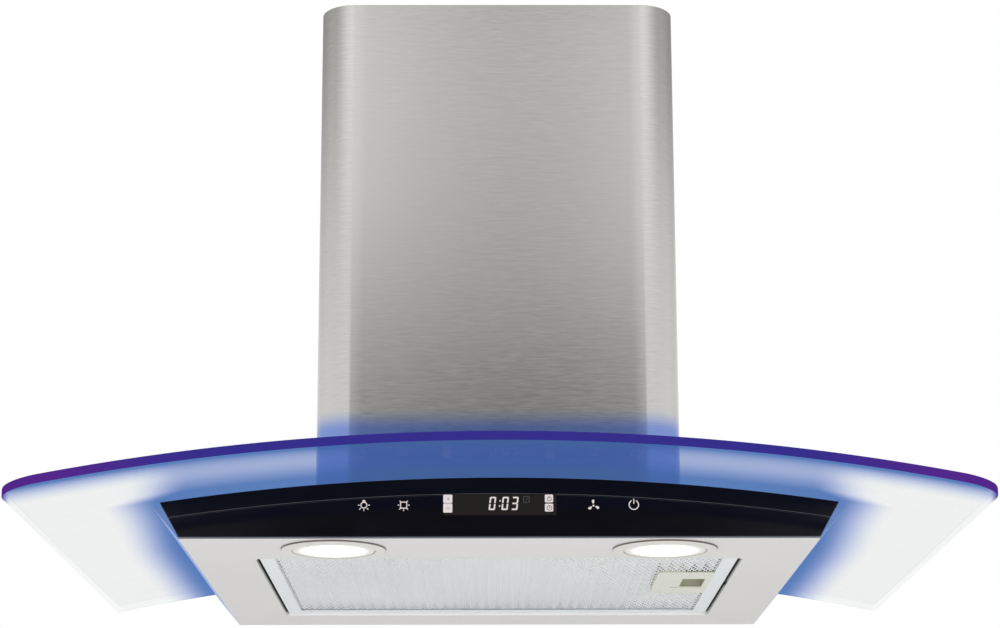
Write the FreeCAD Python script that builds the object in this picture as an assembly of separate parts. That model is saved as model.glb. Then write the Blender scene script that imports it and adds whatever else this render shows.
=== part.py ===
import FreeCAD, Part
import math
import os

# Curved glass range hood for a wall, 600 mm wide.
# Frame: +X to the right as seen by the cook, the front faces -Y, +Z is up.
# The origin is on the wall, midway between the two holes that carry the hood.

V = FreeCAD.Vector

# ---------------------------------------------------------------- fits and sheet
FULL_TURN = 360.0        # degrees
SHEET = 1.0              # steel sheet of body, blower box and lower chimney
SEAT_GAP = 0.3           # between two pieces that are seated but not glued
SLIDE_GAP = 0.8          # between the two chimney covers
RUN_GAP = 0.08           # radial, round a pin or shaft that turns
SNUG_GAP = 0.05          # radial, round a screw or plug in its hole

# ---------------------------------------------------------------- glass canopy
UNDERSIDE_Z = -150.0     # underside panel, measured from the wall fixings
GLASS_WIDTH = 600.0
GLASS_DEPTH = 492.0
GLASS_THICK = 6.0
GLASS_RADIUS = 1473.0    # underside of the arch
GLASS_CROWN = 41.0       # underside of the glass above the panel, at the middle
GLASS_CORNER = 25.0
GLASS_EDGE = 0.8         # polished chamfer
NOTCH_GAP = 3.0          # glass to blower box

# ---------------------------------------------------------------- body
BODY_WIDTH = 407.0       # across the underside
BODY_TOP_WIDTH = 446.5   # across the top of the sloped sides
BODY_DEPTH = 386.4       # wall to face of the fascia
GASKET_THICK = 3.0
GASKET_WIDTH = 14.0
TOP_THICK = 1.0
TOP_FLANGE = 27.0        # rim that carries the top plate
REAR_FLANGE = 20.0       # the same rim along the wall
HEM_RADIUS = 0.8
PANEL_CORNER = 6.0
FLANGE_HIGH = 9.0        # turned-up edge round the filter opening

# ---------------------------------------------------------------- fascia
FASCIA_THICK = 4.0
FASCIA_FOOT_INSET = 0.5  # from the body's side at the underside
FASCIA_TOP_INSET = 6.25  # from the body's side at the glass
FASCIA_JOINT = 11.7      # seam below the arched top edge
FASCIA_LINE = 0.4        # width of the seam
FASCIA_TOP_GAP = 1.0     # light slot under the glass
CARRIER_THICK = 2.4
CARRIER_FOOT = 14.0
BOARD_HALF = 100.0
BOARD_LOW = 4.5          # above the underside
BOARD_HIGH = 33.0
BOARD_THICK = 1.6
BOARD_RIM = 3.0          # edge of the board that lies on the carrier
DISPLAY_WIDTH = 72.0
DISPLAY_LOW = 15.5
DISPLAY_HIGH = 29.3
PAD_HALF = 3.0           # square foam pads behind the keys
ICON_HEIGHT = 22.0
ICON_X = (-86.4, -61.1, 59.8, 85.5)
KEY_X = (-32.0, 32.0)    # small keys left and right of the time
KEY_HEIGHTS = (19.0, 26.0)
PLUG_WIDTH = 24.0        # socket for the ribbon on the back of the board
PLUG_HIGH = 7.0
PLUG_DEEP = 6.0
STUD_RADIUS = 1.5
STUD_HIGH = 6.0
STUD_X = (-170.0, -60.0, 60.0, 170.0)
NUT_ACROSS = 5.5
NUT_HIGH = 2.4
RIB_SPREAD = 8.25        # stiffening ribs, each side of a stud

# ---------------------------------------------------------------- light under the glass
GUIDE_WIDTH = 6.0
TAPE_WIDTH = 5.0
TAPE_THICK = 1.6
TAPE_GAP = 1.0

# ---------------------------------------------------------------- glass fixings
FIXING_X = 199.0
FIXING_FRONT = 86.4      # front pair behind the fascia face
FIXING_BACK = 40.0       # rear pair from the wall
FIXING_RADIUS = 2.5
FIXING_HEAD = 5.5
FIXING_HEAD_HIGH = 3.0
FIXING_HOLE = 5.0        # radius of the hole in the glass
WASHER_RADIUS = 9.0
WASHER_THICK = 1.5
FIXING_NUT_ACROSS = 8.0
FIXING_NUT_HIGH = 4.0
THREAD_SPARE = 2.0       # thread that stands out past a nut or a sheet

# ---------------------------------------------------------------- lamps
LAMP_X = 107.6
LAMP_BACK = 35.4         # lamp centres behind the fascia face
LAMP_HOLE = 29.0
BEZEL_RADIUS = 34.1
BEZEL_PROUD = 1.8
BEZEL_BORE = 27.0
BEZEL_TUBE = 4.0         # height of its tube above the underside
BEZEL_ROUND = 1.2
LENS_LIT_RADIUS = 21.0
LENS_THICK = 2.0
LENS_PROUD = 0.3
CAN_RADIUS = 25.0
CAN_HIGH = 19.0
CAN_FINS = 16
FIN_DEEP = 6.0
SPRING_WIDTH = 8.0       # sprung strips that pull the lamp up
SPRING_THICK = 0.6
SPRING_ROOT = 8.0
SPRING_REACH = 39.0
SPRING_TOE = 5.0

# ---------------------------------------------------------------- grease filter
FILTER_WIDTH = 320.4
FILTER_FRONT = 75.4      # fascia face to filter
FILTER_REAR = 52.0       # filter to wall
FILTER_THICK = 9.0
FILTER_RECESS = 2.0      # frame above the underside
FILTER_GAP = 2.0         # all round in its opening
FRAME_MARGIN = 10.0
FRAME_WALL = 0.8
MESH_THICK = 0.5
FOIL_THICK = 0.4
FOIL_PITCH = 8.0
HINGE_INSET = 3.2        # pivot line from the left side of the frame
HINGE_RISE = 3.0         # pivot line above the lower face of the frame
PIN_RADIUS = 1.6
PIN_HEAD = 2.0
PIN_HEAD_THICK = 1.5
PIN_ROOM = 6.0           # the layers stay this far from a pin

# ---------------------------------------------------------------- filter latch
LATCH_WIDTH = 39.0
LATCH_LENGTH = 91.0
LATCH_MIDDLE = 143.0     # middle of the latch plate from the back of the filter
LATCH_WALL = 1.5
LATCH_CORNER = 5.0
CUP_WIDTH = 16.0
CUP_LENGTH = 38.0
CUP_SIDE = 4.0           # latch plate between cup and frame margin
CUP_DEEP = 4.2
CUP_WALL = 1.0
CUP_OFFSET = 1.0         # cup nearer the wall than the middle of its plate
SLIDER_TRAVEL = 5.0
BOLT_WIDTH = 14.0
BOLT_THICK = 1.5
BOLT_REACH = 3.6         # bolt over its striker
STRIKER_LENGTH = 20.0
STRIKER_WIDTH = 10.0
SPRING_STRIP = 0.5
SPRING_SHORT = 4.0       # spring shorter than the cup at each end
POCKET_LONG = 12.0       # hollows in the back of the latch plate
POCKET_INSET = 4.0
SLIT_WIDTH = 6.0
SLIT_LONG = 2.0

# ---------------------------------------------------------------- blower box
BLOWER_ROOM = 10.7       # blower box to the outside of the chimney
BLOWER_TOP_Z = 86.0
BLOWER_RIM = 13.0        # flanges turned inwards
BACK_PLATE_THICK = 1.5
WALL_HOLE_X = 90.0
WALL_HOLE_RADIUS = 3.0
KEYHOLE_X = 70.0
KEYHOLE_Z = 45.0
KEYHOLE_BIG = 5.5
KEYHOLE_SLOT = 10.0
BOX_SCREW_RADIUS = 2.0
BOX_SCREW_HEAD = 3.8
BOX_SCREW_HIGH = 2.2
CABLE_HOLE = 6.0         # wires from the control box to the fan

# ---------------------------------------------------------------- fan
FAN_Y = -113.0           # axis, from the wall
FAN_FRONT_GAP = 1.5      # scroll to the front of the box
FAN_Z = -9.0
WHEEL_RADIUS = 71.0
WHEEL_BORE = 58.0
WHEEL_HALF = 50.0
WHEEL_BLADES = 36
BLADE_SWEEP = 13.0       # degrees from root to tip
BLADE_THICK = 0.8
RING_THICK = 2.0
HUB_RADIUS = 10.0
HUB_HALF = 8.0
SCROLL_START = 80.0      # radius at the tongue
SCROLL_END = 100.0       # radius at the outlet
TONGUE_ANGLE = 90.0      # the tongue is straight above the axis
SCROLL_STEP = 45.0       # each arc of the spiral
SCROLL_HALF = 60.0
SCROLL_WALL = 1.5
SCROLL_FLANGE = 8.0
INLET_RADIUS = 55.0
INLET_LIP = 6.0
MOTOR_RADIUS = 40.0
MOTOR_START = 14.0
MOTOR_LENGTH = 58.0
MOTOR_DOME = 8.0
MOTOR_HUB = 9.0
MOTOR_HUB_HIGH = 3.0
SHAFT_RADIUS = 4.0
SHAFT_END = 4.0          # shaft ends this far inside the motor's back
ARM_RADIUS = 66.0
ARM_WIDTH = 10.0
ARM_THICK = 2.0
ARM_TIP = 6.0            # arm past its screw
CLAMP_THICK = 2.5
BUSH_RADIUS = 5.0
BUSH_HIGH = 3.0
CAPACITOR_RADIUS = 15.0
CAPACITOR_LENGTH = 50.0
CAPACITOR_INSET = 26.0   # from the side of the blower box
CAPACITOR_Y = -190.0
CAPACITOR_Z = 15.0
TAG_WIDTH = 6.0
TAG_THICK = 0.8
TAG_LONG = 8.0
TAG_SPREAD = 5.0
BAND_HIGH = 12.0
BAND_THICK = 1.0
BAND_FOOT = 20.0

# ---------------------------------------------------------------- outlet
SPIGOT_RADIUS = 74.5     # outside, takes a 150 mm duct
SPIGOT_WALL = 1.0
SPIGOT_Y = -140.0
SPIGOT_HIGH = 50.0
FUNNEL_HIGH = 30.0
FUNNEL_BENDS = 6         # at each corner
NECK_HIGH = 8.0          # neck of the funnel inside the collar
NECK_RIM = 2.0           # ledge of the funnel that the collar stands on
FLAP_PIVOT_RISE = 12.0   # above the foot of the round collar
FLAP_RADIUS = 71.5
FLAP_THICK = 1.2
KNUCKLE_RADIUS = 3.0
KNUCKLE_GAP = 0.5
KNUCKLE_LENGTH = 15.0
FLAP_PIN_RADIUS = 1.5
LEDGE_WIDTH = 4.0

# ---------------------------------------------------------------- electrics
CONTROL_WIDTH = 150.0
CONTROL_DEPTH = 26.0
CONTROL_HIGH = 92.0
CONTROL_LOW_Z = -40.0
CONTROL_WALL = 2.0
LID_LIP = 1.5
POWER_BOARD = 1.6
STAND_HALF = 3.0         # square stands under the board
STAND_INSET = 8.0
TRANSFORMER = (32.0, 36.0, 12.0)     # wide, high, deep
RELAY = (18.0, 16.0, 10.0)
DRIVER = (34.0, 22.0, 9.0)
PART_SPACE = 4.0
TERMINAL_WAYS = 3
TERMINAL_PITCH = 12.0
TERMINAL_HIGH = 16.0
TERMINAL_DEEP = 11.0
TERMINAL_HOLE = 2.2
TERMINAL_SINK = 7.0
GLAND_INSET = 22.0       # from the side of the blower box
GLAND_Y = -25.0
GLAND_RADIUS = 9.0
GLAND_BORE = 4.0
GLAND_HIGH = 16.0
GLAND_TAIL = 8.0         # thread below the sheet
GLAND_NUT = 24.0         # across the flats
GLAND_NUT_UPPER = 5.0
GLAND_NUT_LOWER = 4.0

# ---------------------------------------------------------------- chimney
CHIMNEY_WIDTH = 257.4
CHIMNEY_FRONT_ROOM = 8.0 # control box to the outside of the chimney
CHIMNEY_TOP = 420.0      # above the underside
CHIMNEY_CORNER = 25.0
CHIMNEY_BACK = 0.5       # back edges clear of the wall
UPPER_SHEET = 0.8
UPPER_FOOT = 80.0        # above the underside
BRACKET_HIGH = 30.0
BRACKET_DROP = 12.0      # below the top edge
BRACKET_THICK = 1.5
BRACKET_ARM = 28.0
BRACKET_HOLE_X = 80.0
BRACKET_HOLE_RADIUS = 2.75
CLIP_RISE = 6.0          # chimney clips above the glass
CLIP_HIGH = 16.0
CLIP_LONG = 24.0
CLIP_SHEET = 1.0
CLIP_EDGE = 4.0          # top of the clip above its arm
CLIP_LEG = 8.0
CLIP_Y = (-190.0, -60.0)

# ---------------------------------------------------------------- worked out
ARCH_CENTRE_Z = UNDERSIDE_Z + GLASS_CROWN - GLASS_RADIUS
FRONT_Y = -BODY_DEPTH
LAMP_Y = FRONT_Y + LAMP_BACK
FILTER_DEPTH = BODY_DEPTH - FILTER_FRONT - FILTER_REAR
FILTER_BACK_Y = -FILTER_REAR
LATCH_CENTRE_Y = FILTER_BACK_Y - LATCH_MIDDLE
CUP_CENTRE_Y = LATCH_CENTRE_Y + CUP_OFFSET
BLOWER_HALF = CHIMNEY_WIDTH / 2 - BLOWER_ROOM
BLOWER_DEPTH = -FAN_Y + SCROLL_END + SCROLL_WALL + FAN_FRONT_GAP + SHEET
CHIMNEY_DEPTH = BLOWER_DEPTH + CONTROL_DEPTH + CHIMNEY_FRONT_ROOM
CAPACITOR_X = -BLOWER_HALF + CAPACITOR_INSET
GLAND_X = BLOWER_HALF - GLAND_INSET
FASCIA_BACK_Y = FRONT_Y + FASCIA_THICK
CARRIER_BACK_Y = FASCIA_BACK_Y + CARRIER_THICK
STACK = GASKET_THICK + TOP_THICK
PANEL_TOP_Z = UNDERSIDE_Z + SHEET
HEM_TOP_Z = UNDERSIDE_Z + 2 * HEM_RADIUS
ABOVE_Z = UNDERSIDE_Z + 2 * GLASS_CROWN
FILTER_HALF = FILTER_WIDTH / 2
FILTER_FRONT_Y = FILTER_BACK_Y - FILTER_DEPTH
FILTER_LOW_Z = UNDERSIDE_Z + FILTER_RECESS
FILTER_HIGH_Z = FILTER_LOW_Z + FILTER_THICK
OPENING_HALF = FILTER_HALF + FILTER_GAP
OPENING_FRONT_Y = FILTER_FRONT_Y - FILTER_GAP
OPENING_BACK_Y = FILTER_BACK_Y + FILTER_GAP
HINGE_X = -FILTER_HALF + HINGE_INSET
HINGE_Z = FILTER_LOW_Z + HINGE_RISE
LATCH_RIGHT = FILTER_HALF - FRAME_MARGIN - SNUG_GAP
LATCH_LEFT = LATCH_RIGHT - LATCH_WIDTH
CUP_RIGHT = LATCH_RIGHT - CUP_SIDE
CUP_LEFT = CUP_RIGHT - CUP_WIDTH
SLIDER_LOW_Z = FILTER_LOW_Z + LATCH_WALL + SEAT_GAP
BOLT_END = OPENING_HALF + SHEET + BOLT_REACH
BLOWER_FRONT_Y = -BLOWER_DEPTH
CHIMNEY_TOP_Z = UNDERSIDE_Z + CHIMNEY_TOP
FASCIA_BOTTOM_WIDTH = BODY_WIDTH - 2 * FASCIA_FOOT_INSET
FASCIA_TOP_WIDTH = BODY_TOP_WIDTH - 2 * FASCIA_TOP_INSET
COLLAR_LOW_Z = BLOWER_TOP_Z + FUNNEL_HIGH
COLLAR_BORE = SPIGOT_RADIUS - SPIGOT_WALL
NECK_RADIUS = COLLAR_BORE - SNUG_GAP
FLAP_PIVOT_Z = COLLAR_LOW_Z + FLAP_PIVOT_RISE
MOTOR_END = MOTOR_START + MOTOR_LENGTH
UPPER_HALF = CHIMNEY_WIDTH / 2 - SHEET - SLIDE_GAP
UPPER_DEPTH = CHIMNEY_DEPTH - SHEET - SLIDE_GAP
ARM_X = SCROLL_HALF + SCROLL_WALL + BUSH_HIGH


# ---------------------------------------------------------------- plain shapes
def box(x0, x1, y0, y1, z0, z1):
    return Part.makeBox(x1 - x0, y1 - y0, z1 - z0, V(x0, y0, z0))


def rod(axis, radius, start, length):
    return Part.makeCylinder(radius, length, start, axis)


def ring(axis, outer, inner, start, length):
    return rod(axis, outer, start, length).cut(rod(axis, inner, start, length))


def polygon_face(points):
    return Part.Face(Part.makePolygon(points + points[:1]))


def prism_xz(points, y0, y1):
    face = polygon_face([V(x, y0, z) for x, z in points])
    return face.extrude(V(0, y1 - y0, 0))


def turned(points, centre):
    """Solid of revolution about a vertical axis, from (radius, height) points."""
    face = polygon_face([V(centre.x + r, centre.y, centre.z + h) for r, h in points])
    return face.revolve(centre, V(0, 0, 1), FULL_TURN)


def hexagon(across, start, height):
    reach = across / math.sqrt(3)
    corners = []
    for side in range(6):
        angle = math.radians(60 * side)
        corners.append(start + V(reach * math.cos(angle), reach * math.sin(angle), 0))
    return polygon_face(corners).extrude(V(0, 0, height))


def round_upright(shape, radius, wanted=lambda x, y: True):
    """Fillets the vertical edges whose place in plan is wanted."""
    edges = []
    for edge in shape.Edges:
        low, high = edge.BoundBox.ZMin, edge.BoundBox.ZMax
        upright = edge.BoundBox.XLength < 1e-6 and edge.BoundBox.YLength < 1e-6
        if upright and high > low and wanted(edge.BoundBox.XMin, edge.BoundBox.YMin):
            edges.append(edge)
    return shape.makeFillet(radius, edges)


def group(solids):
    return Part.makeCompound(solids)


# ---------------------------------------------------------------- the arch
class Arch:
    """A curve parallel to the underside of the glass, offset upwards."""

    def __init__(self, offset):
        self.radius = GLASS_RADIUS + offset

    def z(self, x):
        return ARCH_CENTRE_Z + math.sqrt(self.radius ** 2 - x ** 2)


def edge_xz(limit, x0, x1, y):
    """Upper or lower edge of a profile: an arch, or a level line."""
    if isinstance(limit, Arch):
        middle = (x0 + x1) / 2
        points = [V(x, y, limit.z(x)) for x in (x0, middle, x1)]
        return Part.Arc(*points).toShape(), points[0], points[2]
    start, end = V(x0, y, limit), V(x1, y, limit)
    return Part.makeLine(start, end), start, end


def arch_prism(x0, x1, y0, y1, low, high):
    """Block between two limits, each an Arch or a height."""
    bottom, low_start, low_end = edge_xz(low, x0, x1, y0)
    top, high_start, high_end = edge_xz(high, x0, x1, y0)
    sides = [Part.makeLine(low_end, high_end), Part.makeLine(low_start, high_start)]
    wire = Part.Wire(Part.__sortEdges__([bottom, top] + sides))
    return Part.Face(wire).extrude(V(0, y1 - y0, 0))


def below_arch(shape, offset):
    """Part of a shape that lies under an arch."""
    half = 0.6 * BODY_TOP_WIDTH
    low = UNDERSIDE_Z - GLASS_CROWN
    return shape.common(arch_prism(-half, half, -GLASS_DEPTH, 1, low, Arch(offset)))


def above_arch(shape, offset):
    """Part of a shape that lies over an arch."""
    half = 0.6 * BODY_TOP_WIDTH
    return shape.common(arch_prism(-half, half, -GLASS_DEPTH, 1, Arch(offset), ABOVE_Z))


def sloped_block(y0, y1, z0, z1, bottom_half, top_half, inset=0.0):
    """Block with the slant that takes bottom_half to top_half at the glass."""
    rise = Arch(0).z(top_half) - UNDERSIDE_Z
    slant = (top_half - bottom_half) / rise
    side = inset * math.hypot(1, slant)
    half_at = [bottom_half - side + slant * (z - UNDERSIDE_Z) for z in (z0, z1)]
    points = [(-half_at[0], z0), (half_at[0], z0), (half_at[1], z1), (-half_at[1], z1)]
    return prism_xz(points, y0, y1)


def body_block(y0, y1, z0, z1, inset=0.0):
    return sloped_block(y0, y1, z0, z1, BODY_WIDTH / 2, BODY_TOP_WIDTH / 2, inset)


def fascia_block(y0, y1, z0, z1, inset=0.0):
    return sloped_block(y0, y1, z0, z1, FASCIA_BOTTOM_WIDTH / 2, FASCIA_TOP_WIDTH / 2, inset)


def body_edge(offset):
    """Half width of the sloped sides where they meet an arch."""
    rise = Arch(0).z(BODY_TOP_WIDTH / 2) - UNDERSIDE_Z
    slant = (BODY_TOP_WIDTH - BODY_WIDTH) / 2 / rise
    return BODY_WIDTH / 2 + slant * (Arch(offset).z(BODY_TOP_WIDTH / 2) - UNDERSIDE_Z)


def upright_hole(x, y, radius, z0, z1):
    return rod(V(0, 0, 1), radius, V(x, y, z0), z1 - z0)


def fixing_places():
    rows = (FRONT_Y + FIXING_FRONT, -FIXING_BACK)
    return [(side * FIXING_X, y) for side in (-1, 1) for y in rows]


# ---------------------------------------------------------------- glass canopy
def glass_canopy():
    half = GLASS_WIDTH / 2
    slab = arch_prism(-half, half, -GLASS_DEPTH, 0, Arch(0), Arch(GLASS_THICK))
    plan = box(-half, half, -GLASS_DEPTH, 0, UNDERSIDE_Z, ABOVE_Z)
    plan = round_upright(plan, GLASS_CORNER, lambda x, y: y < -GLASS_DEPTH / 2)
    glass = slab.common(plan)
    rims = [e for e in glass.Edges if e.BoundBox.YMax < -GLASS_DEPTH + GLASS_CORNER + 1]
    rims = [e for e in rims if e.BoundBox.ZLength > GLASS_THICK or e.BoundBox.YLength > 1]
    glass = glass.makeChamfer(GLASS_EDGE, rims)
    notch = box(-BLOWER_HALF - NOTCH_GAP, BLOWER_HALF + NOTCH_GAP,
                BLOWER_FRONT_Y - NOTCH_GAP, 1, UNDERSIDE_Z, ABOVE_Z)
    glass = glass.cut(round_upright(notch, NOTCH_GAP, lambda x, y: y < -1))
    for x, y in fixing_places():
        glass = glass.cut(upright_hole(x, y, FIXING_HOLE, UNDERSIDE_Z, ABOVE_Z))
    return glass


def glass_gasket():
    outer = FIXING_X + GASKET_WIDTH / 2
    front = FRONT_Y + TOP_FLANGE + GASKET_WIDTH / 2
    band = arch_prism(-outer, outer, front - GASKET_WIDTH, -SHEET,
                      Arch(SNUG_GAP - GASKET_THICK), Arch(-SNUG_GAP))
    band = band.cut(box(-outer + GASKET_WIDTH, outer - GASKET_WIDTH, front, -GASKET_WIDTH,
                        UNDERSIDE_Z, ABOVE_Z))
    reach = BLOWER_HALF + NOTCH_GAP
    band = band.cut(box(-reach, reach, -GASKET_WIDTH - 1, 1, UNDERSIDE_Z, ABOVE_Z))
    for x, y in fixing_places():
        band = band.cut(upright_hole(x, y, FIXING_HOLE, UNDERSIDE_Z, ABOVE_Z))
    return band


def glass_washers():
    """Flanged soft washers: a flange on the glass and a sleeve in its hole."""
    washers = []
    for x, y in fixing_places():
        foot = Arch(GLASS_THICK).z(abs(x) - WASHER_RADIUS) + SNUG_GAP
        flange = rod(V(0, 0, 1), WASHER_RADIUS, V(x, y, foot), WASHER_THICK)
        low = Arch(SEAT_GAP - GASKET_THICK).z(abs(x) - FIXING_HOLE)
        sleeve = rod(V(0, 0, 1), FIXING_HOLE - SNUG_GAP, V(x, y, low), foot - low)
        bore = upright_hole(x, y, FIXING_RADIUS + SNUG_GAP, low, foot + WASHER_THICK)
        washers.append(flange.fuse(sleeve).cut(bore))
    return group(washers)


def glass_screws():
    screws = []
    for x, y in fixing_places():
        seat = Arch(GLASS_THICK).z(abs(x) - WASHER_RADIUS) + SNUG_GAP + WASHER_THICK
        low = Arch(-STACK - SHEET).z(abs(x)) - FIXING_NUT_HIGH - THREAD_SPARE
        screws.append(turned([(0, low - seat), (FIXING_RADIUS, low - seat), (FIXING_RADIUS, 0),
                              (FIXING_HEAD, 0), (FIXING_HEAD, FIXING_HEAD_HIGH), (0, FIXING_HEAD_HIGH)],
                             V(x, y, seat)))
    return group(screws)


def glass_nuts():
    nuts = []
    for x, y in fixing_places():
        top = Arch(-STACK - SHEET).z(abs(x) + FIXING_NUT_ACROSS / math.sqrt(3)) - SNUG_GAP
        nut = hexagon(FIXING_NUT_ACROSS, V(x, y, top - FIXING_NUT_HIGH), FIXING_NUT_HIGH)
        nuts.append(nut.cut(upright_hole(x, y, FIXING_RADIUS + SNUG_GAP, top - FIXING_NUT_HIGH, top)))
    return group(nuts)


# ---------------------------------------------------------------- body
def filter_opening(z0, z1, grow=0.0):
    hole = box(-OPENING_HALF - grow, OPENING_HALF + grow,
               OPENING_FRONT_Y - grow, OPENING_BACK_Y + grow, z0, z1)
    return round_upright(hole, PANEL_CORNER + grow)


def body_shell():
    """Folded sheet: underside, sloped sides, back and the rim under the glass."""
    high = ABOVE_Z
    outer = below_arch(body_block(FRONT_Y, 0, UNDERSIDE_Z, high), -STACK)
    inner = below_arch(body_block(FRONT_Y + SHEET, -SHEET, PANEL_TOP_Z, high, SHEET), -STACK - SHEET)
    shell = outer.cut(inner)
    front_hole = fascia_block(FRONT_Y - 1, CARRIER_BACK_Y, HEM_TOP_Z, high, -SEAT_GAP)
    shell = shell.cut(front_hole)
    rim_half = body_edge(-STACK) - TOP_FLANGE
    shell = shell.cut(box(-rim_half, rim_half, FRONT_Y + TOP_FLANGE, -REAR_FLANGE,
                          PANEL_TOP_Z + SHEET, high))
    half = BODY_WIDTH / 2
    shell = shell.fuse(box(-half, half, FRONT_Y, FASCIA_BACK_Y, UNDERSIDE_Z, HEM_TOP_Z))
    shell = shell.fuse(rod(V(1, 0, 0), HEM_RADIUS, V(-half, FRONT_Y, UNDERSIDE_Z + HEM_RADIUS), 2 * half))
    shell = shell.fuse(filter_opening(UNDERSIDE_Z, UNDERSIDE_Z + FLANGE_HIGH, SHEET))
    shell = shell.cut(filter_opening(UNDERSIDE_Z - 1, high))
    notch_half = STRIKER_LENGTH / 2 + SEAT_GAP
    shell = shell.cut(box(OPENING_HALF - 1, OPENING_HALF + SHEET + SNUG_GAP,
                          CUP_CENTRE_Y - notch_half, CUP_CENTRE_Y + notch_half, PANEL_TOP_Z, high))
    bore_start = V(HINGE_X, OPENING_FRONT_Y - 2 * SHEET, HINGE_Z)
    bore_length = OPENING_BACK_Y - OPENING_FRONT_Y + 4 * SHEET
    shell = shell.cut(rod(V(0, 1, 0), PIN_RADIUS + RUN_GAP, bore_start, bore_length))
    for side in (-1, 1):
        shell = shell.cut(upright_hole(side * LAMP_X, LAMP_Y, LAMP_HOLE, UNDERSIDE_Z - 1, PANEL_TOP_Z + 1))
    above_panel = PANEL_TOP_Z + SHEET
    for x, y in fixing_places():
        shell = shell.cut(upright_hole(x, y, FIXING_RADIUS + SEAT_GAP, above_panel, high))
    for x, y in box_screw_places():
        shell = shell.cut(upright_hole(x, y, BOX_SCREW_RADIUS + SNUG_GAP, above_panel, high))
    for x in STUD_X:
        shell = shell.fuse(rod(V(0, 0, 1), STUD_RADIUS, V(x, carrier_foot_y(), PANEL_TOP_Z), STUD_HIGH))
    return shell.removeSplitter()


def body_top_plate():
    """Arched cover of the body; the blower box stands on it."""
    plate = body_block(FASCIA_BACK_Y, 0, UNDERSIDE_Z, ABOVE_Z)
    plate = above_arch(below_arch(plate, -GASKET_THICK), -STACK)
    plate = plate.cut(air_window(UNDERSIDE_Z, ABOVE_Z))
    for x, y in fixing_places():
        plate = plate.cut(upright_hole(x, y, FIXING_RADIUS + SEAT_GAP, UNDERSIDE_Z, ABOVE_Z))
    for x, y in box_screw_places():
        plate = plate.cut(upright_hole(x, y, BOX_SCREW_RADIUS + SNUG_GAP, UNDERSIDE_Z, ABOVE_Z))
    return plate


# ---------------------------------------------------------------- fascia
def carrier_foot_y():
    return CARRIER_BACK_Y + CARRIER_FOOT / 2


def control_fascia():
    glass = fascia_block(FRONT_Y, FASCIA_BACK_Y, HEM_TOP_Z, ABOVE_Z)
    return below_arch(glass, -FASCIA_JOINT - FASCIA_LINE)


def fascia_upper_strip():
    strip = fascia_block(FRONT_Y, FASCIA_BACK_Y, UNDERSIDE_Z, ABOVE_Z)
    return above_arch(below_arch(strip, -FASCIA_TOP_GAP), -FASCIA_JOINT)


def board_window(grow=0.0):
    return (-BOARD_HALF + grow, BOARD_HALF - grow,
            UNDERSIDE_Z + BOARD_LOW + grow, UNDERSIDE_Z + BOARD_HIGH - grow)


def fascia_carrier():
    """Moulded frame behind the black glass, with a foot on the panel and stiffening ribs."""
    high = Arch(-STACK - SHEET - SEAT_GAP)
    plate = fascia_block(FASCIA_BACK_Y, CARRIER_BACK_Y, HEM_TOP_Z, ABOVE_Z, SHEET)
    plate = below_arch(plate, -STACK - SEAT_GAP)
    half = FASCIA_BOTTOM_WIDTH / 2 - 2 * SHEET
    foot = box(-half, half, FASCIA_BACK_Y, CARRIER_BACK_Y + CARRIER_FOOT,
               HEM_TOP_Z, HEM_TOP_Z + CARRIER_THICK)
    for side in (-1, 1):
        x = side * LAMP_X
        foot = foot.cut(box(x - LAMP_HOLE, x + LAMP_HOLE, CARRIER_BACK_Y, 0, UNDERSIDE_Z, ABOVE_Z))
    carrier = plate.fuse(foot)
    for x in STUD_X:
        for side in (-1, 1):
            rib_x = x + side * RIB_SPREAD
            rib = arch_prism(rib_x - SHEET / 2, rib_x + SHEET / 2, CARRIER_BACK_Y - SHEET,
                             CARRIER_BACK_Y + CARRIER_FOOT / 2, HEM_TOP_Z, high)
            rib = rib.cut(box(rib_x - SHEET, rib_x + SHEET, CARRIER_BACK_Y, 0, *board_band()))
            carrier = carrier.fuse(rib)
    x0, x1, z0, z1 = board_window(BOARD_RIM)
    carrier = carrier.cut(box(x0, x1, FRONT_Y, CARRIER_BACK_Y + 0.01, z0, z1))
    for x in STUD_X:
        carrier = carrier.cut(upright_hole(x, carrier_foot_y(), STUD_RADIUS + SEAT_GAP,
                                           UNDERSIDE_Z, HEM_TOP_Z + CARRIER_THICK + 1))
    return carrier.removeSplitter()


def board_band():
    """Heights kept free behind the carrier for the board."""
    return (UNDERSIDE_Z + BOARD_LOW - SEAT_GAP, UNDERSIDE_Z + BOARD_HIGH + SEAT_GAP)


def carrier_nuts():
    nuts = []
    low = HEM_TOP_Z + CARRIER_THICK
    for x in STUD_X:
        place = V(x, carrier_foot_y(), low)
        nut = hexagon(NUT_ACROSS, place, NUT_HIGH)
        nuts.append(nut.cut(rod(V(0, 0, 1), STUD_RADIUS + SNUG_GAP, place, NUT_HIGH)))
    return group(nuts)


def touch_board():
    x0, x1, z0, z1 = board_window()
    top = Arch(-STACK - SHEET - SEAT_GAP).z(x1)
    board = box(x0, x1, CARRIER_BACK_Y, CARRIER_BACK_Y + BOARD_THICK, z0, min(z1, top))
    back = CARRIER_BACK_Y + BOARD_THICK
    middle = (z0 + z1) / 2
    plug = box(-PLUG_WIDTH / 2, PLUG_WIDTH / 2, back, back + PLUG_DEEP,
               middle - PLUG_HIGH / 2, middle + PLUG_HIGH / 2)
    return board.fuse(plug)


def touch_pads():
    pads = [(x, ICON_HEIGHT) for x in ICON_X]
    pads += [(x, height) for x in KEY_X for height in KEY_HEIGHTS]
    solids = []
    for x, height in pads:
        z = UNDERSIDE_Z + height
        solids.append(box(x - PAD_HALF, x + PAD_HALF, FASCIA_BACK_Y, CARRIER_BACK_Y,
                          z - PAD_HALF, z + PAD_HALF))
    return group(solids)


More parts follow.
